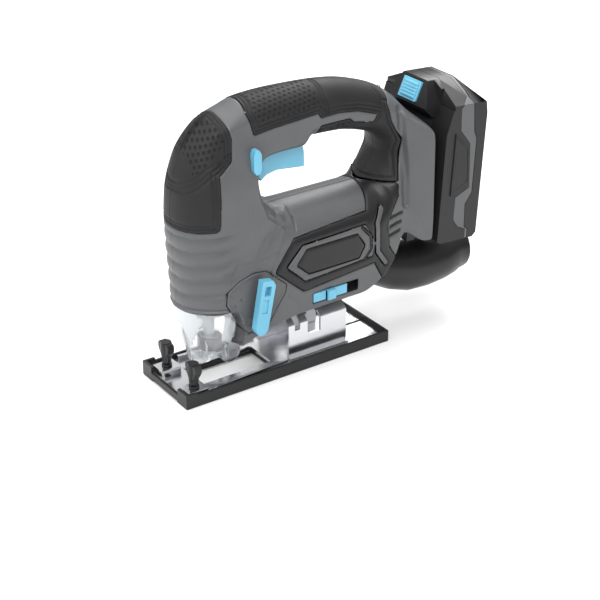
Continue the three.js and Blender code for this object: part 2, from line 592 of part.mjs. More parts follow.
// ---- Base: overshoe, plate, saddle, knobs and bevel screw ------------------------------------
const plateZ = [soleThickness + gap, soleThickness + gap + plateThickness];
const plateTop = plateZ[1];
const shoeHalf = shoeWidth / 2;
const rimWidth = 2;
const plateHalf = shoeHalf - rimWidth - gap;
const slotHalf = bladeSlotWidth / 2;
const slotX = [22, 76];
const cornerX = 2.5;
add('overshoe', cut(join(box([0, shoeLength], [-shoeHalf, shoeHalf], [0, railHeight]),
  box([0, 9], [-shoeHalf, -shoeHalf + 12], [railHeight - 1, railHeight + 2]),
  box([0, 9], [shoeHalf - 12, shoeHalf], [railHeight - 1, railHeight + 2])),
box([cornerX - gap, shoeLength - 1.2], [-plateHalf - gap, plateHalf + gap], [soleThickness, 30]),
box([-1, 4], [-shoeHalf + 12, shoeHalf - 12], [6.2, 30]),
box([-1, 7], [-shoeHalf + 13, shoeHalf - 13], [-1, 1.2]),
box(slotX, [-slotHalf + 2, slotHalf - 2], [-1, 9]),
box([84, 86.5], [-10, 10], [-1, 9])), blackPlastic);

const bridgeX = [knobX - 7.5, knobX + 7.5];
const bridgeTop = plateTop + barSlot[1] + 2;
const bridge = (y) => cut(box(bridgeX, [y - 6, y + 6], [plateTop - 1, bridgeTop]),
  box([knobX + 0.8 - barSlot[0] / 2, knobX + 0.8 + barSlot[0] / 2], [y - 9, y + 9], [plateTop, plateTop + barSlot[1]]),
  rod('z', [knobX, y], 2.4, plateTop, bridgeTop + 1, 16));
const ridge = (side) => slab('z', (side < 0 ? (p) => p : (p) => p.map(([a, b]) => [a, -b]).reverse())(
  [[25, -26], [84, -22.6], [84, -20.2], [25, -23.6]]), plateTop - 1, railHeight - 0.5);
add('base_plate', cut(join(box([cornerX, shoeLength - 1.5], [-plateHalf, plateHalf], plateZ),
  bridge(knobShift - knobY), bridge(knobShift + knobY), ridge(-1), ridge(1)),
box(slotX, [-slotHalf, slotHalf], [0, 9]), box([142, shoeLength], [-1.2, 1.2], [0, 9])), zincSteel);

const saddleInner = saddleRadius - saddleThickness;
const innerHalf = saddleHalf - saddleThickness;
const arc = (r, half, sides = 16) => Array.from({ length: sides + 1 }, (_, i) => {
  const start = Math.acos(half / r);
  const a = start + ((Math.PI - 2 * start) * i) / sides;
  return [r * Math.cos(a), bevelAxisZ + r * Math.sin(a)];
});
const footZ = plateTop + gap;
const footTop = footZ + 1.6;
const footHalf = saddleHalf + 3;
const saddleShape = [[footHalf, footZ], [footHalf, footTop], [saddleHalf, footTop], ...arc(saddleRadius, saddleHalf),
  [-saddleHalf, footTop], [-footHalf, footTop], [-footHalf, footZ], [-innerHalf, footZ],
  ...arc(saddleInner, innerHalf).reverse(), [innerHalf, footZ]];
const screwX = 108;
add('base_saddle', cut(slab('x', saddleShape, ...saddleX),
  box([screwX - 3.5, screwX + 3.5], [-30, 30], [bevelAxisZ + 7, 60]),
  box([screwX - 5.4, screwX + 5.4], [-30, -11], [bevelAxisZ + 7, 34]),
  box([screwX - 5.4, screwX + 5.4], [11, 30], [bevelAxisZ + 7, 34]),
  box([saddleX[0] + 5, saddleX[0] + 9.5], [-22, -12], [bevelAxisZ + 12.5, bevelAxisZ + 22.5])), zincSteel);
const boltTop = 48;
const boltHead = [bevelAxisZ + saddleInner - 6.8, bevelAxisZ + saddleInner - 1.2];
add('bevel_screw', cut(turned('z', [screwX, 0], [[0, boltHead[0]], [5, boltHead[0]], [5, boltHead[1]], [2.8, boltHead[1]],
  [2.8, boltTop], [0, boltTop]], 20),
  slab('z', Array.from({ length: 6 }, (_, i) => [screwX + 2.6 * Math.cos(i * 60 * radians), 2.6 * Math.sin(i * 60 * radians)]),
    boltHead[0] - 1, boltHead[0] + 3)), steel);
add('bevel_nut', cut(box([screwX - 9, screwX + 9], [-halfNut, halfNut], [46.2, 50.5]),
  rod('z', [screwX, 0], 2.8 + gap, 40, 60, 20)), steel);

// A wing knob on its threaded stud, turned about Z.
for (const side of [-1, 1]) {
  const y = side * knobY + knobShift;
  const wing = slab('x', [[-2.4, 17], [2.4, 17], [5, 20.4], [6.3, 23], [6.3, 26.4], [5, 27.6], [-5, 27.6], [-6.3, 26.4],
    [-6.3, 23], [-5, 20.4]].map(([a, b]) => [a + y, b]), knobX - 2.5, knobX + 2.5);
  const neck = turned('z', [knobX, y], [[0, 13.4], [3.2, 13.4], [3.4, 17], [4.2, 21], [4, 27], [3.6, 28.2], [0, 28.2]], 12);
  const stud = rod('z', [knobX, y], 2, plateTop + barSlot[1] - 0.4, 14, 12);
  const collar = rod('z', [knobX, y], 3.6, bridgeTop + gap, bridgeTop + 1.6, 12);
  add(side < 0 ? 'left_knob' : 'right_knob', join(wing, neck, stud, collar), blackPlastic);
}

// ---- Dust pipe -------------------------------------------------------------------------------
// Centre line (x, z) and radius along the pipe; the bore follows at one wall inside.
const pipeStations = [[153, 48, 13.5], [168, 48, 15], [182, 43, 17.6], [198, 38.4, pipeRadius], [214, 37.4, pipeRadius],
  [228, 38.6, pipeRadius], [238, 40.4, pipeRadius - 0.4], [240, 40.8, 17], [pipeEndX, 42.4, 17]];
const pipeWall = 2.2;
function pipeCore(inset, beyond) {
  const last = pipeStations.length - 1;
  const surface = (u, v, target) => {
    const a = Math.PI * 2 * (u % 1);
    const row = Math.round(v * (last + 2)) - 1;
    const [x, z, r] = pipeStations[Math.min(Math.max(row, 0), last)];
    const end = row < 0 || row > last ? 0 : 1;
    const side = Math.min(Math.max(row, 0), last) === 0 ? -beyond : 0;
    const far = Math.min(Math.max(row, 0), last) === last ? beyond : 0;
    target.set(x + side + far, end * (r - inset) * Math.cos(a), z + end * (r - inset) * Math.sin(a));
  };
  return solid(new ParametricGeometry(surface, 22, last + 2));
}
add('dust_pipe', cut(pipeCore(0, 0), pipeCore(pipeWall, 1)), blackPlastic);

// ---- Battery pack ----------------------------------------------------------------------------
const packHalf = packWidth / 2;
const top = packHeight;
// The band's edges are drawn for a pack of the first height and stretch with it.
const stretched = (points) => points.map(([u, w]) => [u, (w * top) / 111]);
const bandFront = stretched([[24.5, 0], [24.5, 7], [17.4, 10], [13, 16], [12.9, 32.5], [24.6, 38.3], [21.8, 70.2], [12.6, 81],
  [11.5, 96.7], [14.6, 99.7], [20.5, 102], [20.5, 111]]);
const bandRear = stretched([[27, 0], [27, 7], [23.8, 9.4], [22.7, 26.2], [28, 34.1], [27.6, 73.6], [25.1, 79], [22.4, 101.3],
  [23.5, 104], [23.5, 111]]);
const packInner = packHalf - 2.2;
const cellPocket = box([7.4, packDepth - 2], [-packInner, packInner], [2.2, top - 16.5]);
const frontOutline = [[0.4, 2], [3, 0], ...bandFront, [11, top], [8, top - 5], [0.4, top - 32]];
const hoodOutline = [[0.4, top - 24], [-6.5, top - 17], [0.2, top], [10.5, top], [10.5, top - 24]];
const buttonOutline = [[-6.9, top - 15.1], [-1.7, top - 1.7], [2.4, top - 3.3], [-2.8, top - 16.7]];
const buttonHalf = 9.5;
const press = [Math.cos(21.5 * radians), -Math.sin(21.5 * radians)];
const buttonSpace = [0, 0.5, 1].map((share) => slab('y', grown(buttonOutline, travelGap), -buttonHalf - travelGap,
  buttonHalf + travelGap).translate([3 * share * press[0], 0, 3 * share * press[1]]));
const rail = box([-7.6, 2], [-railHalf, railHalf], [8, top - 25]);
// Sloping shoulders cut off both upper corners, and the hood narrows towards its top.
const shoulders = [1, -1].map((side) => slab('x', [[12, top], [packHalf + 1, top - 12.5], [packHalf + 1, top + 5],
  [12, top + 5]].map(([a, b]) => [side * a, b]), -10, packDepth + 1));
const hoodSides = [1, -1].map((side) => slab('x', [[12, top + 1], [railHalf + 0.5, top - 15], [60, top - 15],
  [60, top + 5]].map(([a, b]) => [side * a, b]), -10, 6));
add('battery_front_case', cut(join(slab('y', frontOutline, -packHalf, packHalf), rail,
  slab('y', hoodOutline, -railHalf, railHalf)), cellPocket, ...buttonSpace, ...shoulders, ...hoodSides,
...[-8, 0, 8].map((y) => box([-6.4, -2.6], [y - 1.1, y + 1.1], [0, 24]))), blackPlastic, pack);
const bandOutline = grown([...bandFront, ...[...bandRear].reverse()], -gap);
add('battery_band', cut(slab('y', bandOutline, -packHalf, packHalf), cellPocket, ...shoulders), greyPlastic, pack);
const rearOutline = [...bandRear, [33.4, top - 12], [packDepth, top - 20], [packDepth, 3], [packDepth - 3, 0]];
add('battery_rear_case', cut(slab('y', rearOutline, -packHalf, packHalf), cellPocket, ...shoulders), blackPlastic, pack);
const cellCount = Math.floor((top - 19) / (2 * cellRadius + 0.3));
const cellZ = Array.from({ length: cellCount }, (_, i) => cellRadius + 2.5 + (2 * cellRadius + 0.3) * i);
const cells = cellZ.map((z) => rod('y', [18.6, z], cellRadius, -cellLength / 2, cellLength / 2, 16));
const strap = box([16, 21], [cellLength / 2 - 1, cellLength / 2 + 0.3], [cellZ[0] - 4, cellZ[cellCount - 1] + 4]);
add('cell_pack', join(...cells, strap), bluePlastic, pack);
add('release_button', slab('y', buttonOutline, -buttonHalf, buttonHalf), bluePlastic, pack);
const blade = (y) => box([-5.2, -3.8], [y - 0.4, y + 0.4], [-1, 18]);
add('terminal_block', join(box([-7.6, -1], [-14, 14], [-4.6, 6]), ...[-8, 0, 8].map(blade)), blackPlastic, pack);

// ---- The whole tool --------------------------------------------------------------------------
tool.position.x = -pipeEndX / 2;
export default tool;
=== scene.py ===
"""Cordless jigsaw: the tool's visible surfaces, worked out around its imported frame."""
import json
import math
from types import SimpleNamespace

import bpy
import numpy as np
from bpy.props import FloatProperty, FloatVectorProperty, PointerProperty
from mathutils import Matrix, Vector


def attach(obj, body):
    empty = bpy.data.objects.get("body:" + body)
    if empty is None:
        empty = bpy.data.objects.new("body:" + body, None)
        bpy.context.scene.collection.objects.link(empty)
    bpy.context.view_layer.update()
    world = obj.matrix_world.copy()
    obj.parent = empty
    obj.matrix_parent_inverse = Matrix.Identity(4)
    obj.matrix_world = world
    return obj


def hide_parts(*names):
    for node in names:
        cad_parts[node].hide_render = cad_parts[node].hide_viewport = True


bl_info = {
    "name": "Cordless Jigsaw",
    "version": (1, 0, 0),
    "blender": (4, 5, 0),
    "location": "View3D > Sidebar > Jigsaw",
    "description": "Builds the surfaces, finishes and studio of a cordless jigsaw",
    "category": "Add Mesh",
}

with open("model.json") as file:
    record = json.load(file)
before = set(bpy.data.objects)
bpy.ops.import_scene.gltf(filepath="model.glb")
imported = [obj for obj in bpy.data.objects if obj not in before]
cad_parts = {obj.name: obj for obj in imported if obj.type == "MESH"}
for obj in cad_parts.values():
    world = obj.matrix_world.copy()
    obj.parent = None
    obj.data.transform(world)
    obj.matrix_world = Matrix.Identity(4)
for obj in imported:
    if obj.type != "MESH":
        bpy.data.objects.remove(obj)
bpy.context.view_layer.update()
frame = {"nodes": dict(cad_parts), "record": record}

MM = 0.001
ORIGIN_X = 124.0  # the frame's origin lies this far behind the front edge of the shoe, in mm
PACK_LEAN = math.radians(3.2)
PACK_FOOT = (198.2, 69.0)
GAP = 0.3
PACK_HALF = 37.3
PACK_DEPTH = 35.0
LEVER_PIVOT = (54.5, 47.0)
STOP_REACH = 22.0  # of the round stops from the lever's pivot
HOUSING_WALL = 2.2


# ---- Sizes and colours ----------------------------------------------------------------------

def length_property(label, words, default, top):
    """A length, whose default and upper limit are given in mm."""
    return FloatProperty(name=label, description=words, default=default * MM, min=0.0, max=top * MM,
                         precision=5, unit="LENGTH")


def colour_property(label, words, default):
    """A linear colour."""
    return FloatVectorProperty(name=label, description=words, default=default, size=3, min=0.0,
                               max=1.0, subtype="COLOR")


class JigsawSizes(bpy.types.PropertyGroup):
    """Sizes of the fine detail."""
    grid_step: length_property("Grid step", "Spacing of the housing's mesh", 1.05, 5.0)
    seam_drop: length_property("Seam drop", "How far a skin's border rolls under", 0.5, 1.0)
    rib_depth: length_property("Rib depth", "Depth of the creases between the ring ribs", 1.7, 3.0)
    rib_pitch: length_property("Rib pitch", "Distance between the ring ribs", 10.4, 20.0)
    dimple_pitch: length_property("Dimple pitch", "Distance between grip dimples", 4.2, 10.0)
    dimple_depth: length_property("Dimple depth", "Depth of the grip dimples", 0.6, 1.0)
    groove_depth: length_property("Groove depth", "Depth of the border grooves", 1.0, 1.5)
    edge_radius: length_property("Edge radius", "Rounding of moulded and pressed edges", 0.45, 2.0)


class JigsawColours(bpy.types.PropertyGroup):
    """Colours of the finishes."""
    housing_grey: colour_property("Housing grey", "Moulded housing", (0.083, 0.085, 0.088))
    satin_black: colour_property("Satin black", "Panels, shoe and battery", (0.012, 0.012, 0.013))
    grip_black: colour_property("Grip black", "Soft overmoulding", (0.0125, 0.0125, 0.013))
    switch_blue: colour_property("Switch blue", "Trigger, lever and buttons", (0.13, 0.43, 0.60))
    zinc: colour_property("Zinc", "Pressed base and saddle", (0.80, 0.81, 0.83))
    steel: colour_property("Steel", "Turned and ground parts", (0.52, 0.53, 0.55))
    floor: colour_property("Floor", "Studio floor", (0.90, 0.90, 0.90))


def sizes():
    """The sizes in force, in mm."""
    group = bpy.context.scene.jigsaw_sizes
    return SimpleNamespace(**{key: getattr(group, key) / MM for key in JigsawSizes.__annotations__})


def colours():
    """The colours in force."""
    return bpy.context.scene.jigsaw_colours


# ---- Shader expressions ---------------------------------------------------------------------

class Value:
    """Wraps a number socket, so that arithmetic on it adds Math nodes."""

    def __init__(self, look, socket):
        self.look = look
        self.socket = socket

    def _math(self, operation, *values):
        made = self.look.node("ShaderNodeMath", {"operation": operation}, *values)
        return Value(self.look, made.outputs[0])

    def __add__(self, other):
        return self._math("ADD", self, other)

    def __radd__(self, other):
        return self._math("ADD", other, self)

    def __sub__(self, other):
        return self._math("SUBTRACT", self, other)

    def __rsub__(self, other):
        return self._math("SUBTRACT", other, self)

    def __mul__(self, other):
        return self._math("MULTIPLY", self, other)

    def __rmul__(self, other):
        return self._math("MULTIPLY", other, self)

    def __truediv__(self, other):
        return self._math("DIVIDE", self, other)

    def __pow__(self, other):
        return self._math("POWER", self, other)

    def fraction(self):
        """The part after the decimal point."""
        return self._math("FRACT", self)

    def floor(self):
        """The whole number below."""
        return self._math("FLOOR", self)

    def sine(self):
        """Sine of the value in radians."""
        return self._math("SINE", self)

    def size(self):
        """The value without its sign."""
        return self._math("ABSOLUTE", self)

    def above(self, low, high):
        """0 below low, 1 above high and a smooth step between."""
        made = self.look.node("ShaderNodeMapRange", {"interpolation_type": "SMOOTHSTEP"},
                              self, low, high, 0.0, 1.0)
        return Value(self.look, made.outputs[0])


class Look:
    """A material under construction around one Principled shader."""

    def __init__(self, name, roughness, metallic=0.0, **constants):
        self.material = bpy.data.materials.new(name)
        self.material.use_nodes = True
        self.tree = self.material.node_tree
        self.shader = self.tree.nodes["Principled BSDF"]
        self.shader.inputs["Roughness"].default_value = roughness
        self.shader.inputs["Metallic"].default_value = metallic
        for socket, value in constants.items():
            self.shader.inputs[socket.replace("_", " ")].default_value = value

    def node(self, kind, settings, *values, **named):
        """Adds a node: its settings first, then its sockets in order or by name."""
        made = self.tree.nodes.new(kind)
        for key, value in settings.items():
            setattr(made, key, value)
        pairs = list(enumerate(values)) + [(key.replace("_", " "), value) for key, value in named.items()]
        for key, value in pairs:
            if value is None:
                continue
            source = value.socket if isinstance(value, Value) else value
            if isinstance(source, bpy.types.NodeSocket):
                self.tree.links.new(source, made.inputs[key])
            else:
                made.inputs[key].default_value = source
        return made

    def position(self):
        """Object coordinates in metres."""
        return self.node("ShaderNodeTexCoord", {}).outputs["Object"]

    def axes(self):
        """The three object coordinates in millimetres."""
        made = self.node("ShaderNodeSeparateXYZ", {}, self.position())
        return [Value(self, out) * 1000.0 for out in made.outputs]

    def attribute(self, name):
        """A number carried by the mesh."""
        return Value(self, self.node("ShaderNodeAttribute", {"attribute_name": name}).outputs["Fac"])

    def noise(self, scale, detail=2.0, stretch=None):
        """Noise in object space; scale is in cycles per metre."""
        place = self.position()
        if stretch:
            stretched = self.node("ShaderNodeVectorMath", {"operation": "MULTIPLY"}, place, stretch)
            place = stretched.outputs[0]
        made = self.node("ShaderNodeTexNoise", {}, Vector=place, Scale=scale, Detail=detail)
        return Value(self, made.outputs["Fac"])

    def shade(self, amount, low, high, dark=None):
        """Base colour from low to high as amount goes from 0 to 1, and near black where dark is 1."""
        made = self.mixed(amount, low, high)
        if dark:
            deep = self.mixed(dark, low, (0.006, 0.006, 0.006))
            self.tree.links.new(made.outputs[2], deep.inputs[6])
            made = deep
        self.tree.links.new(made.outputs[2], self.shader.inputs["Base Color"])

    def mixed(self, amount, low, high):
        """A mix of two colours."""
        made = self.node("ShaderNodeMix", {"data_type": "RGBA"})
        made.inputs[6].default_value = (*low, 1.0)
        made.inputs[7].default_value = (*high, 1.0)
        self.tree.links.new(amount.socket, made.inputs[0])
        return made

    def vary(self, socket, value):
        """Links a number to one of the shader's varying sockets."""
        self.tree.links.new(value.socket, self.shader.inputs[socket])

    def relief(self, *layers):
        """Chains bumps: each layer is (height, distance in mm)."""
        normal = None
        for height, depth in layers:
            made = self.node("ShaderNodeBump", {}, Strength=1.0, Distance=depth * MM, Height=height,
                             Normal=normal)
            normal = made.outputs[0]
        self.tree.links.new(normal, self.shader.inputs["Normal"])


def tinted(colour, factor):
    """A colour made lighter or darker."""
    return tuple(min(c * factor, 1.0) for c in colour)


def moulded_look(name, colour, roughness, grain, coat=0.0):
    """Moulded plastic: fine spark-eroded grain, faint mottling and scuffed, shinier high spots; the vent
    slots get painted shade, near black.
    """
    gloss = 0.5 if max(colour) > 0.05 else 0.28
    look = Look(name, roughness, Coat_Roughness=0.25, Specular_IOR_Level=gloss)
    mottling = look.noise(45.0, 4.0)
    # painted shade: the shallow vent troughs are coloured near black to stand in for the shade inside an
    # open slot
    vent_shade = look.attribute("slots").above(0.35, 0.65)
    look.shade(mottling, tinted(colour, 0.86), tinted(colour, 1.12), vent_shade)
    look.vary("Roughness", roughness - 0.06 + 0.12 * look.noise(130.0, 3.0))
    look.shader.inputs["Coat Weight"].default_value = coat
    look.relief((look.noise(1900.0, 2.0), grain), (look.noise(30.0, 2.0), 0.25))
    return look.material


def rubber_look(name, colour):
    """Soft overmoulding: matt black with staggered round dimples where the mesh says so, with painted
    shade, near black, inside the dimples.
    """
    look = Look(name, 0.62, Specular_IOR_Level=0.3)
    across, up = look.attribute("across") * 100.0, look.attribute("up") * 100.0
    pitch = sizes().dimple_pitch
    slope = up * 0.16 + across
    row = (up - 0.16 * across) / (pitch * 0.87)
    shift = (row.floor() * 0.5).fraction()
    cell_x = (slope / pitch + shift).fraction() - 0.5
    cell_z = (row.fraction() - 0.5) * 0.87
    ring = (cell_x * cell_x + cell_z * cell_z) ** 0.5
    mask = look.attribute("dimples").above(0.4, 0.6)
    pit = (1.0 - ring.above(0.2, 0.3)) * mask
    grain = look.noise(1500.0, 2.0)
    # painted shade: the dimple pits are coloured near black for the shade inside them; the bump below gives
    # their depth
    look.shade(look.noise(60.0, 4.0), tinted(colour, 0.8), tinted(colour, 1.4), pit)
    look.vary("Roughness", 0.52 + 0.12 * look.noise(90.0, 3.0) + 0.15 * pit)
    look.relief((1.0 - pit, sizes().dimple_depth), (grain, 0.035))
    return look.material


def metal_look(name, colour, roughness, stretch, streak=0.1):
    """Worked metal: streaks along one direction and cloudy plating."""
    look = Look(name, roughness, 1.0)
    streaks = look.noise(260.0, 3.0, stretch)
    cloud = look.noise(35.0, 3.0)
    look.shade(cloud, tinted(colour, 0.82), colour)
    look.vary("Roughness", roughness - 0.05 + streak * streaks + 0.08 * cloud)
    look.relief((streaks, 0.02), (cloud, 0.15))
    return look.material


def clear_look(name):
    """Clear moulded plastic, faintly scuffed."""
    look = Look(name, 0.05, IOR=1.49, Transmission_Weight=0.82)
    haze = look.noise(120.0, 3.0)
    look.shade(haze, (0.84, 0.88, 0.90), (0.93, 0.95, 0.96))
    look.vary("Roughness", 0.03 + 0.09 * haze)
    look.relief((look.noise(40.0, 2.0), 0.12))
    return look.material


LOOKS = {}


def finish_of(slot):
    """The finish for one of the record's material slots, made once."""
    if slot not in LOOKS:
        tint = colours()
        makers = {
            "grey_plastic": lambda: moulded_look("Moulded grey", tint.housing_grey, 0.46, 0.05, 0.08),
            "black_plastic": lambda: moulded_look("Satin black", tint.satin_black, 0.38, 0.045, 0.1),
            "rubber": lambda: rubber_look("Soft black", tint.grip_black),
            "blue_plastic": lambda: moulded_look("Switch blue", tint.switch_blue, 0.34, 0.02, 0.2),
            "cell_sleeve": lambda: moulded_look("Cell sleeve", tint.switch_blue, 0.3, 0.01, 0.3),
            "zinc_steel": lambda: metal_look("Zinc plate", tint.zinc, 0.16, (1.0, 14.0, 14.0), 0.08),
            "steel": lambda: metal_look("Ground steel", tint.steel, 0.28, (3.0, 3.0, 20.0)),
            "cast_alloy": lambda: metal_look("Cast alloy", (0.55, 0.56, 0.57), 0.42, (1.0, 1.0, 1.0), 0.2),
            "copper": lambda: metal_look("Copper windings", (0.62, 0.27, 0.12), 0.3, (1.0, 20.0, 20.0)),
            "brass": lambda: metal_look("Sintered brass", (0.55, 0.38, 0.16), 0.35, (4.0, 4.0, 4.0)),
            "clear_plastic": lambda: clear_look("Clear guard"),
        }
        LOOKS[slot] = makers[slot]()
    return LOOKS[slot]


# ---- Meshes ---------------------------------------------------------------------------------

def to_frame(points):
    """Millimetres from the shoe's front edge, to metres in the part's frame."""
    return (np.asarray(points, float) - (ORIGIN_X, 0.0, 0.0)) * MM


def from_pack(points):
    """The battery's leaning frame, turned about Y and moved to its foot, to millimetres of the tool."""
    p = np.asarray(points, float)
    c, s = math.cos(PACK_LEAN), math.sin(PACK_LEAN)
    return np.stack([PACK_FOOT[0] + p[..., 0] * c + p[..., 2] * s, p[..., 1],
                     PACK_FOOT[1] - p[..., 0] * s + p[..., 2] * c], -1)


def piece(name, points, faces, slot, body, nodes, smooth=True, attributes=None):
    """A mesh object that rides on a body and stands for CAD nodes."""
    mesh = bpy.data.meshes.new(name)
    mesh.from_pydata(to_frame(points).tolist(), [], faces.tolist() if hasattr(faces, "tolist") else faces)
    mesh.validate()
    for key, values in (attributes or {}).items():
        mesh.attributes.new(key, "FLOAT", "POINT").data.foreach_set("value", values.astype(np.float32))
    mesh.polygons.foreach_set("use_smooth", [smooth] * len(mesh.polygons))
    mesh.materials.append(finish_of(slot))
    made = bpy.data.objects.new(name, mesh)
    bpy.context.scene.collection.objects.link(made)
    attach(made, body)
    if nodes:
        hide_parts(*nodes)
    return made


def walled(made, thickness):
    """Gives an open surface a wall on its inner side."""
    wall = made.modifiers.new("Wall", "SOLIDIFY")
    wall.thickness = thickness * MM
    wall.offset = -1.0
    return made


def bevelled(made, width, segments=2):
    """Rounds sharp edges and keeps the flats flat in shading."""
    edge = made.modifiers.new("Edges", "BEVEL")
    edge.width = width * MM
    edge.segments = segments
    edge.limit_method = "ANGLE"
    edge.angle_limit = math.radians(32.0)
    edge.use_clamp_overlap = True
    edge.harden_normals = True
    return made


def softened(node, slot, body, width=None):
    """A merged copy of a CAD node with rounded edges, which stands for it."""
    made = frame["nodes"][node].copy()
    made.data = made.data.copy()
    made.name = node + ".soft"
    for key in list(made.keys()):
        if key.startswith("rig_"):
            del made[key]
    made.parent = None
    bpy.context.scene.collection.objects.link(made)
    count = len(made.data.vertices)
    corners = np.zeros(count * 3)
    made.data.vertices.foreach_get("co", corners)
    corners = corners.reshape(-1, 3)
    _, first, place = np.unique(np.round(corners * 1e6).astype(np.int64), axis=0, return_index=True,
                                return_inverse=True)
    loops = np.zeros(len(made.data.loops), int)
    made.data.loops.foreach_get("vertex_index", loops)
    triangles = place.ravel()[loops].reshape(-1, 3)
    whole = (triangles[:, 0] != triangles[:, 1]) & (triangles[:, 1] != triangles[:, 2]) \
        & (triangles[:, 2] != triangles[:, 0])
    mesh = bpy.data.meshes.new(made.name)
    mesh.from_pydata(corners[first].tolist(), [], triangles[whole].tolist())
    mesh.validate()
    mesh.polygons.foreach_set("use_smooth", [True] * len(mesh.polygons))
    mesh.materials.append(finish_of(slot))
    made.data = mesh
    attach(made, body)
    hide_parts(node)
    return bevelled(made, sizes().edge_radius if width is None else width)


def painted(*nodes):
    """CAD nodes that keep their shape and get a finish."""
    slots = {row["node"]: row["material_slot"] for row in frame["record"]["subparts"]}
    for node in nodes:
        mesh = frame["nodes"][node].data
        mesh.materials.clear()
        mesh.materials.append(finish_of(slots[node]))


# ---- Curves through values ------------------------------------------------------------------

def tangents(knots, values):
    """Slopes for a cubic free of overshoot: the harmonic mean of the neighbouring slopes."""
    rise = np.diff(values, axis=0) / np.diff(knots)[:, None]
    before, after = np.vstack([rise[:1], rise]), np.vstack([rise, rise[-1:]])
    product, total = before * after, before + after
    return np.where(product > 0, 2 * product / np.where(total == 0, 1, total), 0.0)


def cubic(knots, values, at):
    """Cubic Hermite curve through rows of values."""
    slope = tangents(knots, values)
    i = np.clip(np.searchsorted(knots, at, side="right") - 1, 0, len(knots) - 2)
    span = (knots[i + 1] - knots[i])[..., None]
    u = np.clip((at - knots[i])[..., None] / span, 0, 1)
    return ((1 + 2 * u) * (1 - u) ** 2 * values[i] + u * (1 - u) ** 2 * span * slope[i]
            + u * u * (3 - 2 * u) * values[i + 1] + u * u * (u - 1) * span * slope[i + 1])


def rounded(inside):
    """Quarter circle: rises from 0 at an edge to 1 at one radius in."""
    return np.sqrt(1 - (1 - np.clip(inside, 0, 1)) ** 2)


def step(value, low, high):
    """Smooth step from 0 to 1."""
    t = np.clip((value - low) / (high - low), 0, 1)
    return t * t * (3 - 2 * t)


def segment_distance(x, z, start, end):
    """Distance to the line between two points: to its nearest point, at a share clipped to 0..1."""
    ex, ez = end[0] - start[0], end[1] - start[1]
    share = np.clip(((x - start[0]) * ex + (z - start[1]) * ez) / (ex * ex + ez * ez), 0, 1)
    return np.hypot(x - start[0] - share * ex, z - start[1] - share * ez)


def polygon_distance(x, z, corners):
    """Signed distance to a polygon's outline, negative inside."""
    corners = np.asarray(corners, float)
    best = np.full(np.shape(x), np.inf)
    within = np.zeros(np.shape(x), bool)
    for (ax, az), (bx, bz) in zip(corners, np.roll(corners, -1, axis=0)):
        best = np.minimum(best, segment_distance(x, z, (ax, az), (bx, bz)))
        crosses = (az > z) != (bz > z)
        rise = bz - az if bz != az else 1e-9
        within ^= crosses & (x < ax + (z - az) * (bx - ax) / rise)
    return np.where(within, -best, best)


def grown(corners, by):
    """An outline moved outwards by a distance, with mitred corners."""
    p = np.asarray(corners, float)
    after = np.roll(p, -1, axis=0)
    turn = np.sign(np.sum(p[:, 0] * after[:, 1] - after[:, 0] * p[:, 1]))
    along = (after - p) / np.linalg.norm(after - p, axis=1)[:, None]
    out = turn * np.stack([along[:, 1], -along[:, 0]], 1)
    back = np.roll(out, 1, axis=0)
    return p + (out + back) * (by / (1 + np.sum(out * back, 1)))[:, None]


def rounded_zone(corners, radius):
    """A distance field to an outline whose corners are rounded."""
    core = grown(corners, -radius)
    return lambda p: polygon_distance(p[..., 0], p[..., 2], core) - radius


# ---- Housing surface ------------------------------------------------------------------------
# Stations round the hand opening: outer edge x, z, inner edge x, z, half widths by these edges and
# the radii that round them, all in mm from the front edge of the shoe.
STATIONS = np.array([
    [11.5, 61.5, 80, 117.4, 27, 22, 0.5, 9],
    [10.8, 80, 78.5, 118.6, 28.5, 22, 0.5, 9],
    [9.5, 110, 76, 121.5, 30.5, 21, 0.5, 9],
    [10.7, 137, 72.5, 126.5, 30, 21, 0.5, 9],
    [17, 163, 69, 134, 24.5, 22, 0.5, 9],
    [26, 177.5, 67.5, 142, 18, 22, 5, 8],
    [37, 186.5, 69.5, 149.5, 16.5, 21, 10, 8],
    [49, 190.5, 77, 153.5, 16, 19, 13, 8],
    [61, 194, 90, 154, 17, 18, 16, 8],
    [85, 195.3, 103, 153.5, 17.5, 17.5, 17, 8],
    [111, 194.6, 111.5, 158.5, 17.5, 17, 17, 12],
    [134, 192.3, 133, 157.5, 17.5, 17, 17, 13],
    [155, 186.8, 152, 153.5, 17.5, 17, 17, 13],
    [174, 178, 165, 148, 19, 17, 14, 13],
    [188, 164, 169.5, 142, 24, 18, 8, 13],
    [199.5, 150, 170, 137, 34, 18, 3, 13],
    [198.6, 118, 168, 131, 36, 20, 3, 14],
    [196.8, 71, 163, 124, 36, 24, 3, 20],
    [193, 70.5, 161.5, 122.5, 34, 25, 3, 22],
    [179, 78, 160, 121, 29, 26, 4, 26],
    [171, 61, 157, 118.5, 28, 27, 5, 29],
    [160, 47, 150, 117, 28, 29.5, 6, 29],
    [142, 40, 135, 117, 28.5, 29.5, 6, 29],
    [115, 40, 112, 117, 29, 29.5, 6, 29],
    [90, 40.5, 95, 117, 29.5, 29, 5, 27],
    [60, 36.5, 89, 116.8, 29.5, 26, 4, 20],
    [43.5, 31.5, 87, 116.7, 28.5, 25, 3, 18],
    [45.5, 42, 85.5, 116.6, 29, 24, 2, 14],
    [44, 51, 84, 116.6, 29, 24, 2, 12],
    [38, 59, 83, 116.7, 28.5, 23, 1.5, 10],
    [30, 60, 82, 117, 28, 22, 1.5, 9],
    [13, 60, 80.6, 117.2, 27, 22, 1.5, 9],
])
NOSE_HEIGHTS = np.array([60, 80, 110, 137, 163, 177.5, 186.5, 194], float)
# Front edge and rounding depth of the nose at these heights.
NOSE_LINE = np.array([[11.4, 26], [10.7, 27], [9.4, 30], [10.6, 30], [16.8, 27], [25.7, 22], [36, 18],
                      [50, 15]])

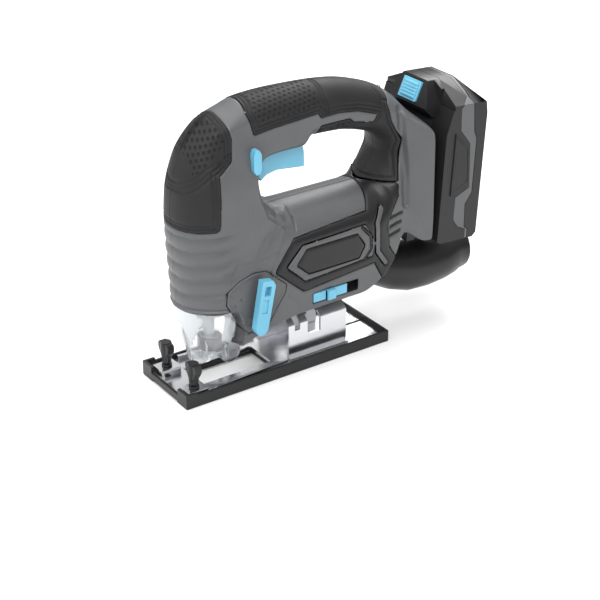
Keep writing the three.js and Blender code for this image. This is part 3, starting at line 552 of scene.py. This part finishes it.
WRAPPED = np.vstack([STATIONS[-2:], STATIONS, STATIONS[:3]])
RING_KNOTS = np.concatenate([[0], np.cumsum(
    np.linalg.norm(np.diff(WRAPPED[:, 0:2], axis=0), axis=1)
    + 0.5 * np.linalg.norm(np.diff(WRAPPED[:, 2:4], axis=0), axis=1))])
RING_START = RING_KNOTS[2]
RING_LENGTH = RING_KNOTS[2 + len(STATIONS)] - RING_START

# Outlines in side view, (x, z) in mm, of the pieces set into the housing.
NOSE_ZONE = [[0, 118.5], [30.7, 118.5], [33.5, 154], [44, 160.5], [45.5, 174.6], [41.5, 190.5], [42.5, 205],
             [0, 205]]
GRIP_ZONE = [[60, 206], [59, 187], [62.8, 173.3], [78.5, 175.2], [97.3, 176.5], [112.1, 177.5],
             [114.5, 173.9], [128.5, 174.5], [143.9, 172.5], [160, 167], [157, 161.5], [140.9, 164.7],
             [137.2, 168.2],
             [114.6, 168], [112.2, 145], [150, 130], [153, 118.2], [173, 118.2], [175.3, 131],
             [177.2, 146], [170.5, 160], [168, 172], [174, 184], [150, 206]]
PANEL_ZONE = [[71.3, 78.8], [86.3, 99.9], [146.2, 103.8], [153, 117.6], [173, 117.6], [171.5, 109],
              [163, 90], [164.5, 73], [176, 56], [164, 42], [151.5, 65], [92.7, 60.2]]
RING_ZONE = [[79.9, 80.7], [91.4, 93.7], [143.1, 95.2], [151.1, 80.4], [148.8, 71.2], [93.5, 68.1]]
PLATE_ZONE = [[86.8, 80.7], [94.2, 90.8], [135.8, 91.1], [142.7, 80.8], [137.9, 72.4], [96.4, 72.1]]
FAN_ZONE = [[47.5, 42], [33.5, 66], [35.5, 74], [44.5, 79.4], [55, 82.5], [64, 82], [69.8, 77.2],
            [79.2, 69], [78, 63.5], [62.5, 42]]


def shell_point(knot, v, side):
    """Point of one housing half. Knot runs round the hand opening and v from the outer edge, 0, to
    the inner edge, 1. The place in side view lies on the line between the two edges at the share
    (1 - cos(pi v)) / 2, and y is the half width times a quarter circle at each edge and at the nose.
    """
    at = RING_START + np.mod(knot - RING_START, RING_LENGTH)
    line = cubic(RING_KNOTS, WRAPPED[:, :4], at)
    wide = sum(cubic(RING_KNOTS, WRAPPED[:, 4:], np.clip(at + shift, 0, RING_KNOTS[-1]))
               for shift in (-6, -3, 0, 3, 6)) / 5
    ox, oz, ix, iz = np.moveaxis(line, -1, 0)
    wide_out, wide_in, round_out, round_in = np.moveaxis(wide, -1, 0)
    length = np.hypot(ix - ox, iz - oz)
    inside = (1 - np.cos(np.pi * v)) / 2 * length
    t = inside / length
    x, z = ox + (ix - ox) * t, oz + (iz - oz) * t
    front, depth = np.moveaxis(cubic(NOSE_HEIGHTS, NOSE_LINE, z), -1, 0)
    half = wide_out + (wide_in - wide_out) * t
    edge = rounded(inside / np.maximum(round_out, 0.4)) \
        * rounded((length - inside) / np.maximum(round_in, 0.4))
    y = np.maximum(half * edge * rounded((x - front) / depth), GAP / 2)
    return np.stack([x, side * y, z], -1)


def shell_normal(knot, v, side):
    """Outward direction, from differences of the surface along its two parameters."""
    e = 0.4
    low, high = np.clip(v - 0.004, 0, 1), np.clip(v + 0.004, 0, 1)
    along = shell_point(knot + e, v, side) - shell_point(knot - e, v, side)
    across = shell_point(knot, high, side) - shell_point(knot, low, side)
    normal = side * np.cross(along, across)
    return normal / np.maximum(np.linalg.norm(normal, axis=-1, keepdims=True), 1e-9)


def trimmed(side, field, columns=96):
    """The housing's grid inside a distance field. Cells that touch the inside are kept, and their
    outer corners slide along the surface onto the field's zero line."""
    rows = int(RING_LENGTH / sizes().grid_step)
    knot, v = np.meshgrid(RING_START + RING_LENGTH * np.arange(rows) / rows, np.linspace(0, 1, columns),
                          indexing="ij")
    d = field(shell_point(knot, v, side))
    inner = d < 0
    follow = np.roll(inner, -1, axis=0)
    cells = inner[:, :-1] | inner[:, 1:] | follow[:, :-1] | follow[:, 1:]
    index = np.arange(rows * columns).reshape(rows, columns)
    after = np.roll(index, -1, axis=0)
    quads = np.stack([index[:, :-1], after[:, :-1], after[:, 1:], index[:, 1:]], -1)[cells]
    if side < 0:
        quads = quads[:, ::-1]
    used, flat = np.unique(quads, return_inverse=True)
    quads = flat.reshape(quads.shape)
    knot, v = knot.ravel()[used], v.ravel()[used]
    for _ in range(4):
        p = shell_point(knot, v, side)
        d = field(p)
        ek, ev = 0.05, 0.0005
        sign = np.where(v > 0.5, -1.0, 1.0)
        pk, pv = shell_point(knot + ek, v, side), shell_point(knot, v + sign * ev, side)
        size_k = np.linalg.norm(pk - p, axis=-1) / ek
        size_v = np.maximum(np.linalg.norm(pv - p, axis=-1) / ev, 1e-3)
        slope_k = (field(pk) - d) / ek / size_k
        slope_v = sign * (field(pv) - d) / ev / size_v
        move = np.where(d > 0, -d / np.maximum(slope_k ** 2 + slope_v ** 2, 0.05), 0.0)
        move = np.clip(move, -1.5, 1.5)
        knot = knot + move * slope_k / size_k
        v = np.clip(v + move * slope_v / size_v, 0, 1)
    return knot, v, quads


def trough(distance, width):
    """Cross-section of a groove: 1 on its line, 0 half a width away, a squared cosine between."""
    return np.cos(np.clip(distance / width, -1, 1) * np.pi / 2) ** 2


def line_distance(p, corners):
    """Distance in side view to an open chain of straight lines."""
    x, z = p[..., 0], p[..., 2]
    return np.minimum.reduce([segment_distance(x, z, a, b) for a, b in zip(corners[:-1], corners[1:])])


# Lines in side view, (x, z) in mm: the dome, then folds, slots and the lines that part fields.
DOME = [[68.5, 126], [79.9, 124.4], [89, 118], [91.5, 112], [89, 104.3], [78, 110], [69.5, 118.2]]
# Moulded lines: chain of (x, z), depth and half width.
SCORES = (([[69.8, 106.3], [60, 91.1]], 0.5, 0.9), ([[67.6, 107.3], [57.8, 92]], 0.35, 0.6),
          ([[42, 90.6], [57, 91], [79, 92.4]], 0.4, 0.7), ([[44, 90.6], [38, 80]], 0.4, 0.7),
          ([[80, 61], [90, 51]], 0.4, 0.8), ([[95, 101.5], [150, 105.5]], 0.5, 0.8))
FOLD = [[177.5, 166], [177.8, 120], [176.5, 84]]
STRUT = [[158.3, 102.5], [153, 94], [153.8, 73], [161, 62.6]]
CHEVRON = [[140.2, 94.2], [147.2, 86.8], [148, 76.7], [142.6, 70.6]]
FOLD_BOTTOM = 100
VENT_DEPTH = 1.3
NOSE_LINE_BREAK = [[0, 148], [9, 146.7], [13, 146], [18.5, 149.8], [27, 156.7], [45, 164]]
GRIP_BREAKS = ([[116.5, 206], [117.5, 196.6], [121.1, 177.8], [121.1, 170]],
               [[114.3, 206], [115.2, 196.6], [118.8, 177.8], [118.8, 170]],
               [[159, 200], [159.8, 186.5], [164.7, 175.5], [180, 170]])


def housing_relief(p, inside):
    """Height in mm of the housing's own relief: ring ribs that circle the nose below its cover and fade
    towards the side, a domed fairing ahead of the motor barrel, moulded score lines and the fold that
    runs down ahead of the battery."""
    size = sizes()
    low = step(p[..., 2], 60.5, 62) * (1 - step(p[..., 2], 114, 115))
    roll = np.abs(np.sin(np.pi * (p[..., 2] - 62.5) / size.rib_pitch)) ** 0.6
    ribs = size.rib_depth * low * (1 - step(p[..., 0], 30, 50)) * (roll - 1)
    side_face = step(np.abs(p[..., 1]), 8, 14)
    dome = polygon_distance(p[..., 0], p[..., 2], DOME)
    fairing = (1.3 * step(-dome, 0, 3.5) - 0.7 * trough(dome, 0.9)) * side_face
    scores = side_face * sum(depth * trough(line_distance(p, chain), width)
                             for chain, depth, width in SCORES)
    fold = 2.6 * trough(line_distance(p, FOLD), 4.0) * side_face
    vents = VENT_DEPTH * (1 - step(vent_field(p), -0.6, 0.5))
    return ribs + fairing - scores - fold * (p[..., 2] > FOLD_BOTTOM) - vents


def shell_piece(name, side, field, slot, body, nodes, lift=0.0, wall=1.3, relief=None, dimples=None,
                slots=None):
    """A skin cut from the housing's surface: it rolls under by the seam drop at its border, carries
    its relief along the normal and gets a wall behind it."""
    knot, v, quads = trimmed(side, field)
    p = shell_point(knot, v, side)
    normal = shell_normal(knot, v, side)
    inside = -field(p)
    height = lift - sizes().seam_drop * (1 - rounded(inside / 1.1))
    if relief:
        height = height + relief(p, inside)
    # slots: mask where the moulded finish paints shade, near black, into the vent slots
    attributes = {"dimples": dimples(p, inside) if dimples else np.zeros(len(p)),
                  "slots": slots(p) if slots else np.zeros(len(p)),
                  "across": (p[:, 0] + 0.75 * np.abs(p[:, 1]) * (p[:, 0] < 55)) / 100,
                  "up": (p[:, 2] - 0.7 * np.abs(p[:, 1]) * (p[:, 0] >= 55)) / 100}
    made = piece(name, p + normal * height[:, None], quads, slot, body, nodes, attributes=attributes)
    return walled(made, wall)


def side_names(pattern):
    """Pairs of side sign and a name that starts with left or right."""
    return [(side, word + "_" + pattern) for side, word in ((-1, "left"), (1, "right"))]


def clear_of(field, *others):
    """A field with the insides of other fields cut out, a seam's width away."""
    return lambda p: np.maximum.reduce([field(p)] + [GAP - other(p) for other in others])


def everywhere(p):
    """A field that is inside everywhere."""
    return np.full(p.shape[:-1], -50.0)


nose_field = rounded_zone(NOSE_ZONE, 3.0)
grip_field = rounded_zone(GRIP_ZONE, 1.2)
panel_field = rounded_zone(PANEL_ZONE, 2.0)
ring_field = rounded_zone(RING_ZONE, 1.0)
plate_field = rounded_zone(PLATE_ZONE, 0.8)
fan_field = rounded_zone(FAN_ZONE, 2.0)


def mouth_field(p):
    """Inside the opening under the nose, where the plunger and fork come out."""
    along = np.maximum(27 - p[..., 0], p[..., 0] - 64)
    return np.maximum(along, np.maximum(np.abs(p[..., 1]) - 15.5, p[..., 2] - 64))


def trigger_field(p):
    """Inside the slot that the trigger moves in."""
    return np.maximum(np.maximum(72 - p[..., 0], p[..., 0] - 109.3),
                      np.maximum(np.abs(p[..., 1]) - 7.0, np.maximum(134 - p[..., 2], p[..., 2] - 170)))


def vent_field(p):
    """Inside the three slanted slots ahead of the battery."""
    x, z = p[..., 0], p[..., 2]
    length, rise, opening = 9.5, 2.7, 2.6
    slots = []
    for row in range(3):
        low, start = 79.5 + 6.5 * row, 164 + 0.5 * row
        end = start + length
        corners = [[start, low], [end, low + rise], [end, low + rise + opening], [start, low + opening]]
        slots.append(polygon_distance(x, z, corners))
    return np.minimum.reduce(slots)


class JIGSAW_OT_housing(bpy.types.Operator):
    """The grey clamshell halves around motor, handle and battery rails"""
    bl_idname = "jigsaw.housing"
    bl_label = "Housing"

    def execute(self, context):
        """Builds both halves and the bores over the screws."""
        for side, name in side_names("housing"):
            cuts = [nose_field, grip_field, panel_field, mouth_field, trigger_field]
            if side < 0:
                cuts += [fan_field, slider_field]
            else:
                cuts.append(screw_field)
            # the slots mask marks the vent slots, where the housing colour is painted near black as shade
            shell_piece(name + "_shell", side, clear_of(everywhere, *cuts), "grey_plastic", "tool_body",
                        [name], wall=HOUSING_WALL, relief=housing_relief,
                        slots=lambda p: 1 - step(vent_field(p), -0.4, 0.5))
        for i, spot in enumerate(SCREW_SPOTS):
            screw_bore("screw_bore_%d" % (i + 1), spot)
        painted("housing_screw_1", "housing_screw_2", "housing_screw_3", "housing_screw_4")
        return {"FINISHED"}


SCREW_SPOTS = ((53.0, 172.0), (150.0, 176.0), (184.0, 140.0), (186.0, 82.0))
SCREW_DEPTH = 11.4
BORE_RADIUS = 3.7


def screw_field(p):
    """Inside the four bores over the screw heads in the right half."""
    reach = [np.hypot(p[..., 0] - x, p[..., 2] - z) for x, z in SCREW_SPOTS]
    return np.minimum.reduce(reach) - BORE_RADIUS


def screw_bore(name, spot):
    """The wall of a screw's bore: a circle drawn along y from the screw's seat to the skin, whose depth
    is looked up on the housing's surface at each angle."""
    knot, v = np.meshgrid(RING_START + RING_LENGTH * np.arange(500) / 500, np.linspace(0.02, 0.98, 80),
                          indexing="ij")
    skin = shell_point(knot, v, 1).reshape(-1, 3)
    rows, columns = 6, 28
    angle = np.linspace(0, 2 * np.pi, columns, endpoint=False)
    ring = np.stack([spot[0] + BORE_RADIUS * np.cos(angle), spot[1] + BORE_RADIUS * np.sin(angle)], -1)
    near = np.argmin(np.linalg.norm(skin[None, :, [0, 2]] - ring[:, None], axis=-1), axis=1)
    share = np.linspace(0, 1, rows)[:, None]
    y = SCREW_DEPTH + (skin[near, 1] - 0.5 - SCREW_DEPTH) * share
    points = np.stack(np.broadcast_arrays(ring[:, 0], y, ring[:, 1]), -1)
    body_slot = "rubber" if grip_field(np.array([spot[0], 0.0, spot[1]])) < 0 else "grey_plastic"
    faces = grid_faces(rows, columns, around=True)
    walled(piece(name, points.reshape(-1, 3), faces, body_slot, "tool_body", []), 0.8)


def grid_faces(rows, columns, around=False):
    """Quads of a grid of points; around joins the last column to the first."""
    index = np.arange(rows * columns).reshape(rows, columns)
    after = np.roll(index, -1, axis=1)
    quads = np.stack([index[:-1], index[1:], after[1:], after[:-1]], -1)
    return (quads if around else quads[:, :-1]).reshape(-1, 4)


def slider_field(p):
    """Inside the window of the blower switch."""
    along = np.maximum(100 - p[..., 0], p[..., 0] - 137.6)
    return np.maximum(along, np.maximum(48.8 - p[..., 2], p[..., 2] - 56.2))


class JIGSAW_OT_overmoulds(bpy.types.Operator):
    """The soft nose covers and handle grips"""
    bl_idname = "jigsaw.overmoulds"
    bl_label = "Overmoulds"

    def execute(self, context):
        """Builds the covers and grips of both sides."""
        for side, name in side_names("nose_cover"):
            shell_piece(name + "_skin", side, nose_field, "rubber", "tool_body", [name], lift=0.3,
                        relief=cover_relief, dimples=cover_dimples)
        for side, name in side_names("handle_grip"):
            openings = [trigger_field, screw_field] if side > 0 else [trigger_field]
            shell_piece(name + "_skin", side, clear_of(grip_field, *openings), "rubber", "tool_body",
                        [name], lift=0.2, relief=grip_relief, dimples=grip_dimples)
        return {"FINISHED"}


def cover_dimples(p, inside):
    """Share of dimples on the nose cover: its upper field, clear of the border and the front."""
    return step(inside, 5.2, 5.8) * step(p[..., 0], 18, 20) * step(p[..., 2] - 0.85 * p[..., 0], 138, 139.5)


def grip_dimples(p, inside):
    """Share of dimples on the grip: the front of its upper field and the part behind the trigger."""
    upper = step(inside, 5.0, 5.8) * (1 - step(p[..., 0] + 0.2 * p[..., 2], 149.5, 150.5)) \
        * step(p[..., 2], 178, 179)
    lower = step(inside, 1.6, 2.4) * step(150 - p[..., 0], 12, 14) * (1 - step(p[..., 2], 165, 167))
    return upper + lower


def border_grooves(inside):
    """Two parallel grooves that follow the border."""
    return -sizes().groove_depth * (trough(inside - 2.2, 1.1) + trough(inside - 4.6, 1.1))


def cover_relief(p, inside):
    """The nose cover's border grooves and the curved pair that parts its dimpled upper field."""
    parting = line_distance(p, NOSE_LINE_BREAK)
    pair = trough(parting, 1.0) + trough(parting - 2.5, 0.9)
    return border_grooves(inside) - sizes().groove_depth * pair


def grip_relief(p, inside):
    """The grip's border grooves on the upper handle and the pairs that part its fields."""
    upper = step(p[..., 2], 168, 170)
    parting = sum(trough(line_distance(p, chain), 1.0) for chain in GRIP_BREAKS)
    return upper * (border_grooves(inside) - sizes().groove_depth * parting) \
        - sizes().groove_depth * (1 - upper) * trough(inside - 2.2, 0.8)


class JIGSAW_OT_side_panels(bpy.types.Operator):
    """The black side panels with their raised six-sided rings and plates"""
    bl_idname = "jigsaw.side_panels"
    bl_label = "Side panels"

    def execute(self, context):
        """Builds the panels, rings and plates of both sides."""
        for side, name in side_names("side_panel"):
            shell_piece(name + "_skin", side, clear_of(panel_field, raised_field), "black_plastic",
                        "tool_body", [name],
                        relief=lambda p, inside: 0.35 * step(inside, 0.0, 2.5))
        for side, name in side_names("badge_ring"):
            shell_piece(name + "_skin", side, clear_of(raised_field, plate_field, chevron_field),
                        "grey_plastic", "tool_body", [name], lift=0.85, relief=lambda p, inside: -0.45 * (
                            trough(inside - 1.5, 0.45) + trough(inside - 2.6, 0.45)))
        for side, name in side_names("badge_plate"):
            shell_piece(name + "_skin", side, lambda p: np.minimum(plate_field(p), chevron_field(p)),
                        "black_plastic", "tool_body", [name], lift=0.35,
                        relief=lambda p, inside: 0.3 * step(inside, 1.2, 2.0))
        return {"FINISHED"}


def raised_field(p):
    """Inside the six-sided ring or the forked strut behind it."""
    return np.minimum(ring_field(p), line_distance(p, STRUT) - 1.7)


def chevron_field(p):
    """Inside the bent slot at the rear of the ring."""
    return line_distance(p, CHEVRON) - 1.0


class JIGSAW_OT_pendulum(bpy.types.Operator):
    """The selector's plate, lever and shaft"""
    bl_idname = "jigsaw.pendulum"
    bl_label = "Pendulum selector"

    def execute(self, context):
        """Builds the plate and rounds the lever."""
        shell_piece("pendulum_plate_skin", -1, fan_field, "grey_plastic", "tool_body", ["pendulum_plate"],
                    relief=plate_relief)
        softened("pendulum_lever", "blue_plastic", "pendulum_selector", 0.6)
        painted("pendulum_shaft")
        return {"FINISHED"}


def plate_relief(p, inside):
    """A sunk field inside the rim, round stops on an arc about the shaft and short index marks."""
    x, z = p[..., 0] - LEVER_PIVOT[0], p[..., 2] - LEVER_PIVOT[1]
    reach, angle = np.hypot(x, z), np.degrees(np.arctan2(x, z))
    stops = 0.0
    for degrees in (-40, -24, 30):
        turn = math.radians(degrees)
        away = np.hypot(x - STOP_REACH * math.sin(turn), z - STOP_REACH * math.cos(turn))
        stops = stops + trough(away, 1.7)
    band = step(reach, 26.5, 27.2) * (1 - step(reach, 30, 30.7))
    marks = sum(trough(angle - degrees, 1.3) for degrees in (-36, -21, 24)) * band
    return -0.5 * step(inside, 1.6, 2.6) - 0.9 * stops + 0.35 * marks


class JIGSAW_OT_controls(bpy.types.Operator):
    """Trigger, lock button and blower switch"""
    bl_idname = "jigsaw.controls"
    bl_label = "Controls"

    def execute(self, context):
        """Rounds the three controls."""
        softened("trigger", "blue_plastic", "trigger_body", 1.0)
        softened("lock_button", "blue_plastic", "lock_button_body", 0.5)
        softened("blower_switch", "blue_plastic", "blower_slider", 0.4)
        return {"FINISHED"}


class JIGSAW_OT_base(bpy.types.Operator):
    """Shoe, pressed plate, saddle, wing knobs and bevel screw"""
    bl_idname = "jigsaw.base"
    bl_label = "Base"

    def execute(self, context):
        """Rounds the parts of the base."""
        softened("overshoe", "black_plastic", "base")
        softened("base_plate", "zinc_steel", "base", 0.3)
        softened("base_saddle", "zinc_steel", "base", 0.3)
        softened("left_knob", "black_plastic", "left_wing_knob", 0.3)
        softened("right_knob", "black_plastic", "right_wing_knob", 0.3)
        softened("bevel_screw", "steel", "bevel_bolt", 0.3)
        return {"FINISHED"}


class JIGSAW_OT_blade_drive(bpy.types.Operator):
    """Plunger, clamp, guide roller, fork and the castings seen through the mouth"""
    bl_idname = "jigsaw.blade_drive"
    bl_label = "Blade drive"

    def execute(self, context):
        """Rounds the outer parts and finishes the inner ones."""
        softened("guide_roller", "zinc_steel", "roller", 0.2)
        softened("roller_fork", "steel", "fork", 0.3)
        softened("clamp_collar", "black_plastic", "collar", 0.3)
        painted("plunger", "yoke", "blade_clamp", "roller_pin", "gear_housing", "lower_bush", "upper_bush")
        return {"FINISHED"}


class JIGSAW_OT_guard(bpy.types.Operator):
    """The clear chip guard"""
    bl_idname = "jigsaw.guard"
    bl_label = "Chip guard"

    def execute(self, context):
        """Rounds the guard."""
        softened("chip_shield", "clear_plastic", "tool_body", 0.3)
        return {"FINISHED"}


class JIGSAW_OT_dust_pipe(bpy.types.Operator):
    """The dust outlet behind the motor"""
    bl_idname = "jigsaw.dust_pipe"
    bl_label = "Dust pipe"

    def execute(self, context):
        """Rounds the pipe."""
        softened("dust_pipe", "black_plastic", "dust_outlet", 0.3)
        return {"FINISHED"}


class JIGSAW_OT_battery(bpy.types.Operator):
    """The sliding battery pack"""
    bl_idname = "jigsaw.battery"
    bl_label = "Battery"

    def execute(self, context):
        """Rounds the cases and adds plates, ribs and ridges."""
        softened("battery_front_case", "black_plastic", "battery", 1.3)
        softened("battery_band", "grey_plastic", "battery", 0.3)
        softened("battery_rear_case", "black_plastic", "battery", 1.2)
        softened("release_button", "blue_plastic", "battery_release", 0.8)
        painted("cell_pack", "terminal_block")
        for side, name in side_names("label_plate"):
            label_plate(name, side)
        rear_ribs()
        button_ribs()
        return {"FINISHED"}


def label_plate(name, side):
    """A blank plate on the pack's side: an outline shrunk towards its middle in rings, each ring at
    its own height, so that the border is a rounded step."""
    outline = np.array([[8.4, 79.6], [15, 73], [20.2, 67.6], [21.7, 55], [22.6, 42.3], [15, 38.4],
                        [8.2, 34.8], [8.3, 57]])
    middle = outline.mean(axis=0)
    share = np.array([1.0, 1.0, 0.985, 0.93, 0.92, 0.6, 0.02])[:, None, None]
    rise = np.array([-0.3, 0.5, 0.75, 0.75, 0.45, 0.45, 0.45])[:, None]
    ring = middle + (outline - middle) * share
    y = side * (PACK_HALF + np.broadcast_to(rise, ring.shape[:2]))
    points = from_pack(np.stack([ring[..., 0], y, ring[..., 1]], -1))
    faces = grid_faces(len(share), len(outline), around=True)
    if side < 0:
        faces = faces[:, ::-1]
    made = piece(name, points.reshape(-1, 3), faces, "black_plastic", "battery", [], smooth=False)
    bevelled(walled(made, 0.25), 0.15)


def rear_ribs():
    """The ribbed back of the pack: height over the wall is a rounded square wave of the height."""
    up, across = np.meshgrid(np.linspace(10, 90, 161), np.linspace(-31, 31, 40), indexing="ij")
    wave = step(np.sin(2 * np.pi * (up - 10) / 8.0 - 0.5 * np.pi), -0.3, 0.3)
    border = step(31 - np.abs(across), 0, 2.0)
    points = from_pack(np.stack([PACK_DEPTH - 0.1 + 1.1 * wave * border, across, up], -1))
    made = piece("rear_ribs", points.reshape(-1, 3), grid_faces(*up.shape), "black_plastic", "battery", [])
    walled(made, 0.5)


def button_ribs():
    """Finger ridges on the release button: rolls along y raised from its slanted face."""
    along, across = np.meshgrid(np.linspace(0.12, 0.88, 61), np.linspace(-7.6, 7.6, 30), indexing="ij")
    low, high = np.array([-6.9, 95.9]), np.array([-1.7, 109.3])
    face = low + (high - low) * along[..., None]
    roll = 0.75 * np.abs(np.sin(5 * np.pi * (along - 0.12) / 0.76)) * step(7.6 - np.abs(across), 0, 1.2)
    out = face + (roll[..., None] + 0.02) * np.array([-0.930, 0.367])
    points = from_pack(np.stack([out[..., 0], across, out[..., 1]], -1))
    faces = grid_faces(*along.shape)[:, ::-1]
    made = piece("button_ribs", points.reshape(-1, 3), faces, "blue_plastic", "battery_release", [])
    walled(made, 0.4)


class JIGSAW_OT_inside(bpy.types.Operator):
    """Finishes of the motor, gears and fasteners inside"""
    bl_idname = "jigsaw.inside"
    bl_label = "Inside parts"

    def execute(self, context):
        """Gives the inner parts their finishes."""
        painted("switch_module", "trigger_spring", "motor_can", "magnet_ring", "armature", "motor_shaft",
                "cooling_fan", "pinion", "front_bearing", "rear_bearing", "brush_plate", "reduction_gear",
                "gear_axle", "bevel_nut")
        return {"FINISHED"}


CAMERA_PLACE = (-0.5508, -0.7758, 0.5253)
CAMERA_LENS = 92.46
CAMERA_AZIMUTH = math.radians(-34.65)
CAMERA_ELEVATION = math.radians(27.4)
# Name, place in metres, watts and width in metres of each lamp.
LAMPS = (("key", (-0.7, -0.9, 1.3), 16.0, 0.9), ("fill", (-1.2, 0.5, 0.9), 7.0, 1.0),
         ("rim", (0.9, 0.7, 1.1), 12.0, 0.7), ("top", (0.1, -0.1, 1.5), 8.0, 1.2))


class JIGSAW_OT_stage(bpy.types.Operator):
    """Floor, lights and camera"""
    bl_idname = "jigsaw.stage"
    bl_label = "Stage"

    def execute(self, context):
        """Makes floor, sky, lamps and camera."""
        scene = context.scene
        mesh = bpy.data.meshes.new("floor")
        w = 6.0
        mesh.from_pydata([(-w, -w, 0), (w, -w, 0), (w, w, 0), (-w, w, 0)], [], [(0, 1, 2, 3)])
        floor = bpy.data.objects.new("floor", mesh)
        scene.collection.objects.link(floor)
        look = Look("Floor", 0.7)
        look.shade(look.noise(3.0, 2.0), tinted(colours().floor, 0.985), colours().floor)
        mesh.materials.append(look.material)
        floor.location.z = -0.0002
        world = bpy.data.worlds.new("Studio")
        scene.world = world
        world.use_nodes = True
        sky_light(world.node_tree)
        scene.view_settings.view_transform = "Standard"
        for name, place, energy, size in LAMPS:
            light = bpy.data.lights.new(name, "AREA")
            light.energy, light.size = energy, size
            lamp = bpy.data.objects.new(name, light)
            scene.collection.objects.link(lamp)
            lamp.location = place
            aim = Vector((0.0, 0.0, 0.1)) - Vector(place)
            lamp.rotation_euler = aim.to_track_quat("-Z", "Y").to_euler()
        camera = bpy.data.cameras.new("camera")
        camera.sensor_width = 36.0
        camera.lens = CAMERA_LENS
        eye = bpy.data.objects.new("camera", camera)
        scene.collection.objects.link(eye)
        eye.location = CAMERA_PLACE
        azimuth, elevation = CAMERA_AZIMUTH, CAMERA_ELEVATION
        back = Vector((math.sin(azimuth) * math.cos(elevation), -math.cos(azimuth) * math.cos(elevation),
                       math.sin(elevation)))
        eye.rotation_euler = (-back).to_track_quat("-Z", "Y").to_euler()
        scene.camera = eye
        return {"FINISHED"}


def sky_light(tree):
    """A studio dome: brightness rises from a dim horizon to a bright top."""
    direction = tree.nodes.new("ShaderNodeTexCoord").outputs["Generated"]
    split = tree.nodes.new("ShaderNodeSeparateXYZ")
    tree.links.new(direction, split.inputs[0])
    rise = tree.nodes.new("ShaderNodeMapRange")
    rise.interpolation_type = "SMOOTHSTEP"
    for socket, value in zip(rise.inputs[1:5], (0.05, 0.75, 0.12, 1.05)):
        socket.default_value = value
    tree.links.new(split.outputs[2], rise.inputs[0])
    tree.links.new(rise.outputs[0], tree.nodes["Background"].inputs[1])
    tree.nodes["Background"].inputs[0].default_value = (1.0, 1.0, 1.0, 1.0)


STEPS = (JIGSAW_OT_stage, JIGSAW_OT_housing, JIGSAW_OT_overmoulds, JIGSAW_OT_side_panels,
         JIGSAW_OT_pendulum, JIGSAW_OT_controls, JIGSAW_OT_base, JIGSAW_OT_blade_drive, JIGSAW_OT_guard,
         JIGSAW_OT_dust_pipe,
         JIGSAW_OT_battery, JIGSAW_OT_inside)


class JIGSAW_PT_panel(bpy.types.Panel):
    """Lists the building steps and their settings"""
    bl_idname = "JIGSAW_PT_panel"
    bl_label = "Jigsaw"
    bl_space_type = "VIEW_3D"
    bl_region_type = "UI"
    bl_category = "Jigsaw"

    def draw(self, context):
        """Draws sizes, colours and one button for each step."""
        for group in (context.scene.jigsaw_sizes, context.scene.jigsaw_colours):
            box = self.layout.box()
            for key in group.bl_rna.properties.keys():
                if key not in ("rna_type", "name"):
                    box.prop(group, key)
        for one in STEPS:
            self.layout.operator(one.bl_idname)


CLASSES = (JigsawSizes, JigsawColours, *STEPS, JIGSAW_PT_panel)


def register():
    """Registers the classes and hangs the settings on the scene."""
    for one in CLASSES:
        bpy.utils.register_class(one)
    bpy.types.Scene.jigsaw_sizes = PointerProperty(type=JigsawSizes)
    bpy.types.Scene.jigsaw_colours = PointerProperty(type=JigsawColours)


def unregister():
    """Takes the settings and classes away again."""
    del bpy.types.Scene.jigsaw_sizes
    del bpy.types.Scene.jigsaw_colours
    for one in reversed(CLASSES):
        bpy.utils.unregister_class(one)


def main():
    """Builds everything in order."""
    register()
    for one in STEPS:
        group, name = one.bl_idname.split(".")
        getattr(getattr(bpy.ops, group), name)()


if __name__ == "__main__":
    main()
